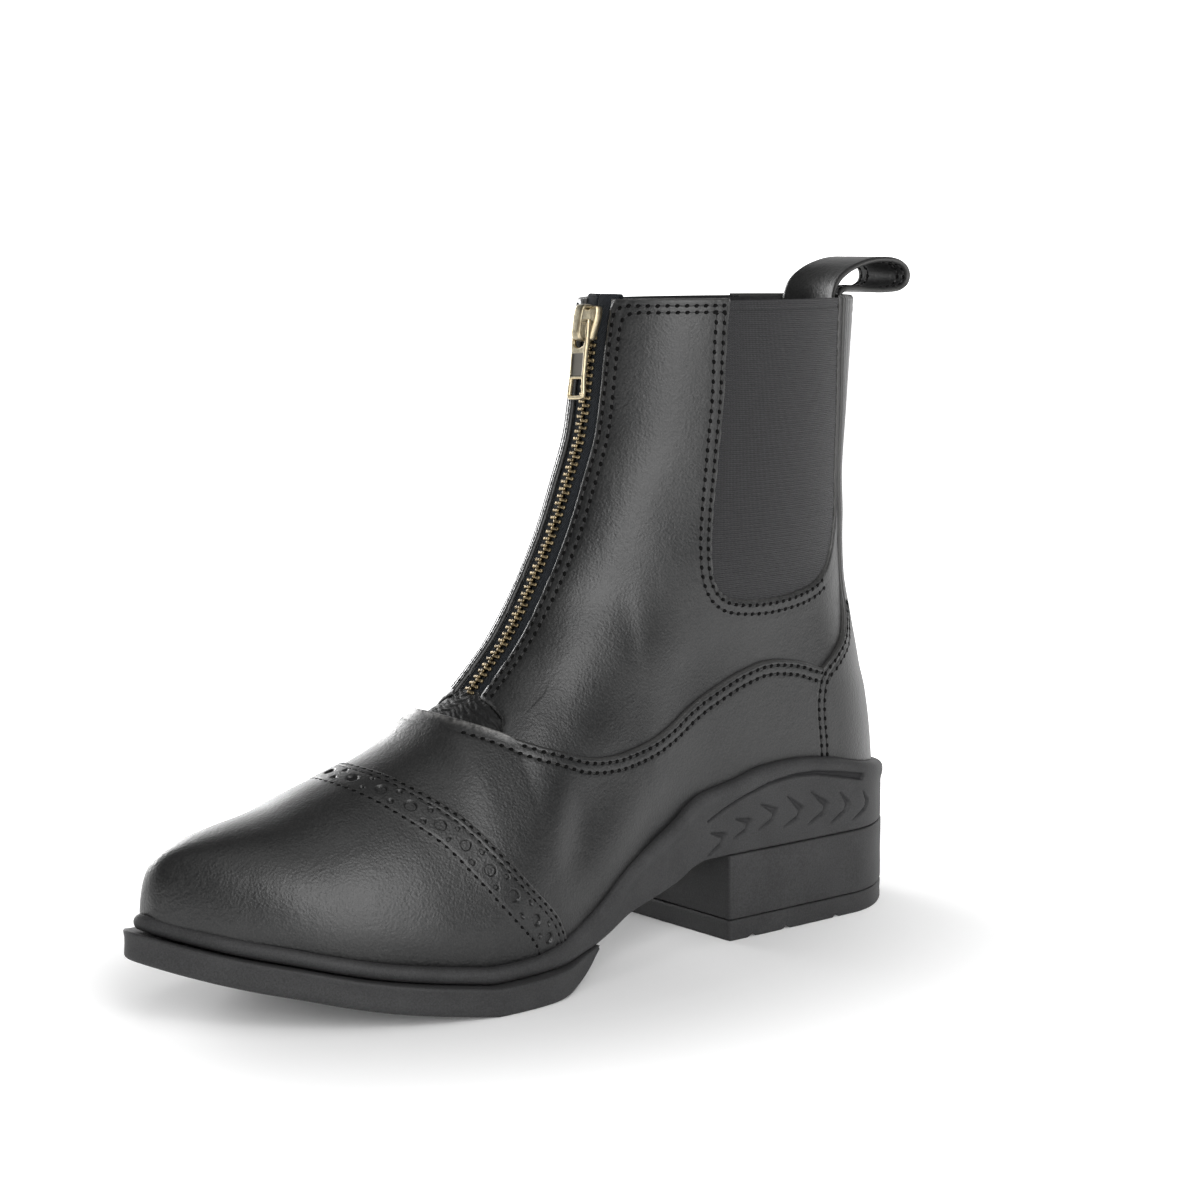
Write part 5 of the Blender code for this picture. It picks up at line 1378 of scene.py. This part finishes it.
def makeLoop():
    line = loopLine()
    half = boot["collarLength"] / 2
    across = loopSet["width"] / 2 * np.linspace(-1, 1, loopSet["columns"])
    bend = half * (1 - np.sqrt(1 - (across / (boot["collarWidth"] / 2)) ** 2))
    tangent = unit(np.gradient(line[:, :2], axis=0))
    normal = np.stack([tangent[:, 1], -tangent[:, 0]], -1)
    far = loopSet["width"] / 2 - np.abs(across)
    nearEdge = np.clip(1 - far / loopSet["edgeRound"], 0, 1)
    thin = loopSet["edgeRound"] * (1 - np.sqrt(1 - nearEdge ** 2 * 0.999)) + loopSet["rowDeep"] * sum(
        bell(far, row, loopSet["rowWide"]) for row in loopSet["rowsAt"])
    base = np.stack(np.broadcast_arrays(line[:, 0][:, None] + bend[None] * (1 - line[:, 2])[:, None], across[None],
                                        line[:, 1][:, None]), -1)
    offset = np.stack([normal[:, 0][:, None] + 0 * across[None], 0 * normal[:, 0][:, None] + 0 * across[None],
                       normal[:, 1][:, None] + 0 * across[None]], -1)
    outer = base - offset * (loopSet["wall"] / 2 - thin)[None, :, None]
    inner = base + offset * (loopSet["wall"] / 2 - thin * 0.6)[None, :, None]
    points = np.concatenate([outer, inner[:, ::-1]], 1)
    points = np.concatenate([points[:1].mean(1, keepdims=True) + 0 * points[:1], points,
                             points[-1:].mean(1, keepdims=True) + 0 * points[-1:]], 0)
    edge = np.tile(np.append(wornEdge(far), wornEdge(far) * 0.4), (len(points), 1))
    piece = addPiece("pullLoop", points, quadsOf(len(points), points.shape[1], True), "boot",
                     strapLeather, marks=dict(edge=edge), weld=0.00001)
    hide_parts("pull_loop")
    return across, outer, offset


loopParts = makeLoop()
print("loop done")


# stitches and punched holes

stitchSet = dict(pitch=0.0030, length=0.0019, width=0.00050, height=0.00046, hole=0.00074, corner=0.0040,
                 footTurn=0.34, footDown=(0.0108, 0.0122), slant=0.35,
                 # distance from the zip's slit and from the collar of each row beside them
                 collarRows=((0.0018, 0.0023), (0.0044, 0.0044)))


def beadShape(sides=6, rings=4):
    # a grain of thread: ellipse rings from tip to tip along x
    t = np.linspace(0, math.pi, rings + 1)
    a = np.linspace(0, 2 * math.pi, sides, endpoint=False)
    points = np.array([np.column_stack([np.full(sides, -math.cos(s) / 2), np.cos(a) * math.sin(s) ** 0.6 / 2,
                                        np.sin(a) * math.sin(s) ** 0.6 / 2]) for s in t])
    return points.reshape(-1, 3), quadsOf(rings + 1, sides, True)[:, ::-1]


def discShape(sides=8):
    a = np.linspace(0, 2 * math.pi, sides, endpoint=False)
    rim = np.column_stack([np.cos(a), np.sin(a), np.zeros(sides)])
    low = rim - (0, 0, 0.6)
    centre = np.tile(np.array([[0, 0, 0.12]]), (sides, 1))
    return np.vstack([low, rim, centre]), quadsOf(3, sides, True)[:, ::-1]


stitchStore = dict(thread=[], holes=[])


def sew(points, normals):
    # stitches and their holes at even steps along a line that lies on the leather
    run = runAlong(points)
    count = max(int(run[-1] / stitchSet["pitch"]), 1)
    at = (np.arange(count) + 0.5) * run[-1] / count
    ends = (np.arange(count + 1)) * run[-1] / count
    place, holes = pick(at, run, points), pick(ends, run, points)
    along = unit(np.gradient(place, axis=0)) if count > 1 else unit(points[-1:] - points[:1])
    stitchStore["thread"].append((place, along, unit(pick(at, run, normals))))
    stitchStore["holes"].append((holes, unit(np.gradient(holes, axis=0)), unit(pick(ends, run, normals))))


def sewSurface(turn, up, distance, lift, low=None):
    t, u = slide(turn, up, distance) if distance else (turn, up)
    points = leather(t, u, lift)
    normals = upperNormal(t, u)
    if low is not None:
        keep = low(t, u)
        points, normals = points[keep], normals[keep]
    if len(points) > 3:
        sew(points, normals)


def mirrored(turn, up):
    return 2 * math.pi - turn[::-1], up[::-1]


def collarPath(side, beside, below):
    # up beside the zip, round the panel's top corner, then along the collar to the gore
    round_ = stitchSet["corner"]
    bend = np.linspace(0, math.pi / 2, 24)
    foot = boot["shaftHeight"] - boot["instepHeight"] - 0.001
    last = upperRaw(*toSurface(np.array([0.0395]), np.array([boot["shaftHeight"] - below])))[0, 1]
    fromZip = np.concatenate([np.full(400, beside), beside + round_ * (1 - np.cos(bend)),
                              np.linspace(beside + round_, last - boot["zipSlit"] / 2, 160)[1:]])
    fromTop = np.concatenate([np.linspace(foot, below + round_, 401)[:-1], below + round_ * (1 - np.sin(bend)),
                              np.full(159, below)])
    low = feather(np.interp(boot["shaftHeight"] - fromTop, ridgeZ[::-1], ridgeX[::-1]))
    up = 1 - fromTop / (boot["shaftHeight"] - low)
    return frontTurn(up, side * (fromZip + boot["zipSlit"] / 2)), up


def makeSeams():
    # foxing: two rows just inside the top edge, from the counter to the throat on both sides
    throat = np.abs(foxTurn - math.pi) > math.pi * 0.12
    for part in (throat & (foxTurn < math.pi) & (foxTurn > 0.62), throat & (foxTurn > math.pi) & (foxTurn < 5.66)):
        for d in seamForm["rows"]:
            sewSurface(foxTurn[part], foxRow[part], d, foxingSet["lift"] - 0.0001)
    # cap: two rows along its edge, one at the band's front

    def aboveRubber(t, u):
        return u > randUp(t, 0.0006)
    for d in capSet["rowsAt"]:
        sewSurface(capTurn, capRow, d, capSet["lift"] - 0.0001, aboveRubber)
    # gore: two rows round its front and bottom
    body = goreEdge[(goreEdge[:, 1] < boot["shaftHeight"] - 0.004)]
    stop = int(np.argmax((body[:, 0] < -0.008) & (body[:, 1] > 0.113)))
    x, z = body[:stop, 0], body[:stop, 1]
    turn, up = toSurface(x, z)
    for d in seamForm["rows"]:
        sewSurface(turn, up, -d, -0.0001)
        sewSurface(*mirrored(turn, up), -d, -0.0001)
    for beside, below in stitchSet["collarRows"]:
        for side in (1, -1):
            sewSurface(*collarPath(side, beside, below), 0, -0.0001)
    # counter: two rows beside its front edge
    z = np.linspace(0.050, 0.103, 200)
    x = smooth(z * 1000, counterEdge["z"], counterEdge["x"]) / 1000
    turn, up = toSurface(x, z)
    for d in counterSet["rowsAt"]:
        sewSurface(turn, up, -d, counterSet["lift"] - 0.0001, aboveRubber)
        sewSurface(*mirrored(turn, up), -d, counterSet["lift"] - 0.0001, aboveRubber)
    # the pull loop's foot is sewn through the strip behind the collar
    turn = np.linspace(-stitchSet["footTurn"], stitchSet["footTurn"], 80)
    for down in stitchSet["footDown"]:
        share = 1 - down / (boot["shaftHeight"] - feather(0.0))
        sewSurface(turn, np.full(80, share), 0, counterSet["lift"] - 0.0009)
    # pull loop: two rows along each edge, outside and inside
    across, outer, offset = loopParts
    for inwards in loopSet["rowsAt"]:
        for side in (-1, 1):
            column = int(np.argmin(np.abs(across - side * (loopSet["width"] / 2 - inwards))))
            run = slice(*(int(loopSet["rows"] * share) for share in loopSet["sewn"]))
            sew(outer[run, column] - offset[run, column] * 0.00002, -offset[run, column])


makeSeams()


def buildStitches():
    shape, faces = beadShape()
    size = np.array([stitchSet["length"], stitchSet["width"], stitchSet["height"]])
    place, along, out = (np.vstack([row[k] for row in stitchStore["thread"]]) for k in range(3))
    across = np.cross(out, along)
    points, quads = copies(shape * size, faces, place + out * 0.00006, along, across, out)
    addPiece("stitches", points, quads, "boot", thread, weld=0.000004)
    # a dark disc at each stitch hole: painted shade
    shape, faces = discShape()
    holes, along, out = (np.vstack([row[k] for row in stitchStore["holes"]]) for k in range(3))
    across = np.cross(out, along)
    size = stitchSet["hole"]
    points, quads = copies(shape * (size, size * 0.75, size * 0.5), faces, holes + out * 0.00016,
                           along + across * stitchSet["slant"], across - along * stitchSet["slant"], out)
    addPiece("punchedHoles", points, quads, "boot", stitchHoleShade, weld=0.000004)
    print("stitches:", len(place))


buildStitches()

# slider and pull tab, stamped from sheet: places are the solids' own

tabSet = dict(place=(0.07220, 0.00003, 0.19676), skew=0.06109, hang=0.15708, thick=0.0015, roundEdge=0.00045,
              outline=[(3.6, 0.3), (3.0, 0.75), (-3.0, 0.75), (-3.6, 0.3), (-3.75, -3.0), (-3.75, -6.6), (-3.65, -8.0),
                       (-3.55, -9.2), (-3.5, -13.0), (-3.55, -17.4), (-3.75, -19.6), (-3.95, -21.6), (-3.9, -23.0),
                       (-3.4, -24.0), (-2.4, -24.25), (2.4, -24.25), (3.4, -24.0), (3.9, -23.0), (3.95, -21.6),
                       (3.75, -19.6), (3.55, -17.4), (3.5, -13.0), (3.55, -9.2), (3.65, -8.0), (3.75, -6.6),
                       (3.75, -3.0)],
              slot=[(2.55, -1.3), (2.6, -3.0), (2.6, -5.6), (2.1, -7.4), (0.0, -8.1), (-2.1, -7.4), (-2.6, -5.6),
                    (-2.6, -3.0), (-2.55, -1.3), (-1.9, -0.75), (1.9, -0.75)],
              window=[(2.3, -18.0), (2.5, -18.5), (2.75, -22.4), (2.4, -22.9), (-2.4, -22.9), (-2.75, -22.4),
                      (-2.5, -18.5), (-2.3, -18.0)],
              plate=(2.75, -9.6, -17.2), plateDeep=0.00030, plateStep=0.0004, cell=0.00016)
sliderSet = dict(place=(0.06782, 0.00003, 0.19599), lean=0.17355, base=0.0003, thick=0.0028, roundEdge=0.0007,
                 outline=[(0.6, 4.5), (1.8, 5.2), (3.6, 5.5), (4.35, 4.7), (4.6, 2.4), (4.3, 0.0), (3.7, -2.2),
                          (3.2, -4.4), (2.5, -5.4), (0.0, -5.5), (-2.5, -5.4), (-3.2, -4.4), (-3.7, -2.2),
                          (-4.3, 0.0), (-4.6, 2.4), (-4.35, 4.7), (-3.6, 5.5), (-1.8, 5.2), (-0.6, 4.5)],
                 bridge=[(1.6, 4.9), (3.6, 5.0), (5.3, 4.7), (6.2, 3.6), (6.5, 1.8), (6.5, 0.0), (6.5, -2.0),
                         (6.3, -3.8), (5.6, -5.1), (3.6, -5.5), (1.6, -5.4)],
                 bridgeHalf=0.00205, bridgeThick=0.00060, cell=0.00018)


def closedSpline(corners, count):
    # smooth closed line through the corners of an outline given in millimetres
    ring = np.array(corners, float)
    around = splineThrough(np.vstack([ring, ring, ring, ring[:1]]), count * 9)
    third = len(around) // 3
    return resample(around[third:2 * third + 1], count + 1)[:-1] / 1000


def stamped(lines, thick, roundEdge, cell, relief=None):
    # both faces of a sheet cut to the first outline and pierced by the others, its edges rounded over
    low, high = lines[0].min(0) - cell, lines[0].max(0) + cell
    across = np.linspace(low[0], high[0], int((high[0] - low[0]) / cell))
    along = np.linspace(low[1], high[1], int((high[1] - low[1]) / cell))
    y, z = np.meshgrid(across, along)
    far, nearY, nearZ, inside = flatDistance(y, z, lines[0])
    for hole in lines[1:]:
        holeFar, holeY, holeZ, inHole = flatDistance(y, z, hole)
        closer = inHole | (inside & (holeFar < far))
        far = np.where(closer, holeFar, far)
        nearY, nearZ = np.where(closer, holeY, nearY), np.where(closer, holeZ, nearZ)
        inside &= ~inHole
    quads = quadsOf(*y.shape, False)
    quads = quads[inside.ravel()[quads].any(axis=1)]
    y, z, far = np.where(inside, y, nearY), np.where(inside, z, nearZ), np.where(inside, far, 0)
    near = np.clip(1 - far / roundEdge, 0, 1)
    rise = thick / 2 * np.sqrt(1 - near ** 2)
    mark = bell(far, roundEdge * 0.55, roundEdge * 0.5)
    front = rise - (relief(y, z) if relief else 0)
    points = np.concatenate([np.stack([x, y, z], -1).reshape(-1, 3) for x in (front, -rise)])
    return points, np.vstack([quads[:, ::-1], quads + y.size]), np.append(mark, mark)


def turned(points, place, skew, hang):
    # from the piece's own axes (outwards, across, up) to the row's frame
    c, s = math.cos(skew), math.sin(skew)
    tipped = points @ np.array([[1, 0, 0], [0, c, s], [0, -s, c]])
    c, s = math.cos(hang), math.sin(hang)
    return tipped @ np.array([[c, 0, s], [0, 1, 0], [-s, 0, c]]) + np.array(place)


def makeTab():
    half, top, bottom = (value / 1000 for value in tabSet["plate"])

    def sunk(y, z):
        # the plate's middle is pressed in, with a soft step all round
        inwards = np.minimum(half - np.abs(y), np.minimum(top - z, z - bottom))
        return tabSet["plateDeep"] * ease(inwards, 0.0, tabSet["plateStep"])
    lines = [closedSpline(tabSet[name], count) for name, count in (("outline", 200), ("slot", 120),
                                                                   ("window", 100))]
    points, quads, mark = stamped(lines, tabSet["thick"], tabSet["roundEdge"], tabSet["cell"], sunk)
    plate = sunk(points[:, 1], points[:, 2]) / tabSet["plateDeep"]
    points = turned(points, tabSet["place"], tabSet["skew"], tabSet["hang"])
    piece = addPiece("pullTab", points, quads, "puller", sliderBrass,
                     marks=dict(edge=mark, plate=plate), weld=0.000002)
    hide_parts("zip_puller")


def makeSlider():
    points, quads, mark = stamped([closedSpline(sliderSet["outline"], 160)], sliderSet["thick"],
                                  sliderSet["roundEdge"], sliderSet["cell"])
    points[:, 0] += sliderSet["base"] + sliderSet["thick"] / 2
    # the bridge: a strip with rounded sides, led over the tab's bar from the slider's top to its foot
    line = splineThrough(sliderSet["bridge"], 90) / 1000
    tangent = unit(np.gradient(line, axis=0))
    normal = np.stack([-tangent[:, 1], tangent[:, 0]], -1)
    angle = np.linspace(0, 2 * math.pi, 28, endpoint=False)
    ringY = sliderSet["bridgeHalf"] * np.sign(np.cos(angle)) * np.abs(np.cos(angle)) ** 0.6
    ringN = sliderSet["bridgeThick"] * np.sign(np.sin(angle)) * np.abs(np.sin(angle)) ** 0.8
    tube = np.stack(np.broadcast_arrays(line[:, 0, None] + normal[:, 0, None] * ringN[None], ringY[None],
                                        line[:, 1, None] + normal[:, 1, None] * ringN[None]), -1)
    tube = np.concatenate([tube[:1].mean(1, keepdims=True) + 0 * tube[:1], tube,
                           tube[-1:].mean(1, keepdims=True) + 0 * tube[-1:]])
    bridgeQuads = quadsOf(len(tube), len(angle), True) + len(points)
    bridgeMark = np.tile(bell(np.abs(ringY), sliderSet["bridgeHalf"] * 0.8, 0.0003), len(tube))
    points = turned(np.vstack([points, tube.reshape(-1, 3)]), sliderSet["place"], 0.0, sliderSet["lean"])
    piece = addPiece("slider", points, np.vstack([quads, bridgeQuads]), "boot", sliderBrass,
                     marks=dict(edge=np.append(mark, bridgeMark)), weld=0.000002)
    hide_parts("zip_slider")


makeTab()
makeSlider()
print("slider done")


# floor, light, camera

stageSet = dict(floor=colour(0.88, 0.88, 0.88), size=6.0, dim=0.065, bright=2.2, azimuth=236.0, low=0.05, high=0.60,
                bandTop=0.62, bandFade=0.28, middle=(0.085, 0.0, 0.0), stretch=(0.80, 1.15, 1.0), glowFrom=0.04,
                glowTo=0.27, lift=0.03)


def paperRecipe(s):
    # white paper with painted light: it glows faintly near the boot, which lifts the shadow there, and fully far from
    # the boot, so that it runs into the backdrop
    coords = s.node("ShaderNodeTexCoord", output=3)
    centred = s.node("ShaderNodeVectorMath", {"operation": "SUBTRACT"}, {0: coords, 1: stageSet["middle"]})
    shaped = s.node("ShaderNodeVectorMath", {"operation": "MULTIPLY"}, {0: centred, 1: stageSet["stretch"]})
    away = s.node("ShaderNodeVectorMath", {"operation": "LENGTH"}, {0: shaped}, output=1)
    glow = away.step(stageSet["glowFrom"], stageSet["glowTo"])
    low = stageSet["lift"]
    return {"Base Color": s.noise(coords, 3.0).tint(stageSet["floor"], colour(0.88, 0.88, 0.88)),
            "Emission Color": glow.tint(colour(low, low, low), colour(1, 1, 1))}


def makeStage():
    mesh = bpy.data.meshes.new("floor")
    size = stageSet["size"]
    mesh.from_pydata([(-size, -size, 0), (size, -size, 0), (size, size, 0), (-size, size, 0)], [], [(0, 1, 2, 3)])
    floor = bpy.data.objects.new("floor", mesh)
    bpy.context.scene.collection.objects.link(floor)
    mesh.materials.append(surface("paper", paperRecipe, Roughness=0.9, Specular_IOR_Level=0.1,
                                  Emission_Strength=1.0))
    # a white backdrop behind the boot, a dim room on the camera's side
    world = bpy.data.worlds.new("studio")
    bpy.context.scene.world = world
    world.use_nodes = True
    s = Signal(world.node_tree)
    direction = s.node("ShaderNodeTexCoord", output=0)
    azimuth = math.radians(stageSet["azimuth"])
    ahead = s.node("ShaderNodeVectorMath", {"operation": "DOT_PRODUCT"},
                   {0: direction, 1: (math.cos(azimuth), math.sin(azimuth), 0)}, output=1)
    height = s.node("ShaderNodeSeparateXYZ", {}, {0: direction}, output=2)
    band = 1.0 - height.step(stageSet["bandFade"], stageSet["bandTop"])
    shade = ahead.step(stageSet["low"], stageSet["high"]) * band * (
        stageSet["bright"] - stageSet["dim"]) + stageSet["dim"]
    background = world.node_tree.nodes["Background"]
    background.inputs["Color"].default_value = (1, 1, 1, 1)
    world.node_tree.links.new(shade.socket, background.inputs["Strength"])


makeStage()


def softLight(name, place, aim, size, power):
    light = bpy.data.lights.new(name, "AREA")
    light.shape = "RECTANGLE"
    light.size, light.size_y = size
    light.energy = power
    lamp = bpy.data.objects.new(name, light)
    lamp.location = place
    lamp.rotation_euler = (Vector(aim) - Vector(place)).to_track_quat("-Z", "Y").to_euler()
    bpy.context.scene.collection.objects.link(lamp)


# place, aim, size and watts of each lamp
softLight("keyLight", (0.52, 1.45, 1.10), (0.04, 0, 0.08), (0.9, 1.2), 24)
softLight("sideLight", (0.50, 1.25, 0.30), (0.03, 0, 0.14), (0.6, 0.5), 3.6)
softLight("topLight", (0.35, 0.25, 1.9), (0.08, 0, 0.0), (1.0, 1.0), 4)
softLight("toeLight", (0.06, -1.30, 0.36), (0.15, 0, 0.05), (0.7, 0.4), 11)
cameraSet = dict(place=(0.5913, 0.6350, 0.2223), pitch=-7.82, yaw=230.35, focal=2632.0, picture=1200.0, sensor=36.0)


def makeCamera():
    pitch, yaw = math.radians(cameraSet["pitch"]), math.radians(cameraSet["yaw"])
    data = bpy.data.cameras.new("camera")
    data.sensor_width = cameraSet["sensor"]
    data.lens = cameraSet["focal"] / cameraSet["picture"] * cameraSet["sensor"]
    camera = bpy.data.objects.new("camera", data)
    camera.location = cameraSet["place"]
    aim = Vector((math.cos(yaw) * math.cos(pitch), math.sin(yaw) * math.cos(pitch), math.sin(pitch)))
    camera.rotation_euler = aim.to_track_quat("-Z", "Y").to_euler()
    bpy.context.scene.collection.objects.link(camera)
    bpy.context.scene.camera = camera


makeCamera()
bpy.context.scene.view_settings.view_transform = "Standard"
print("stage done")
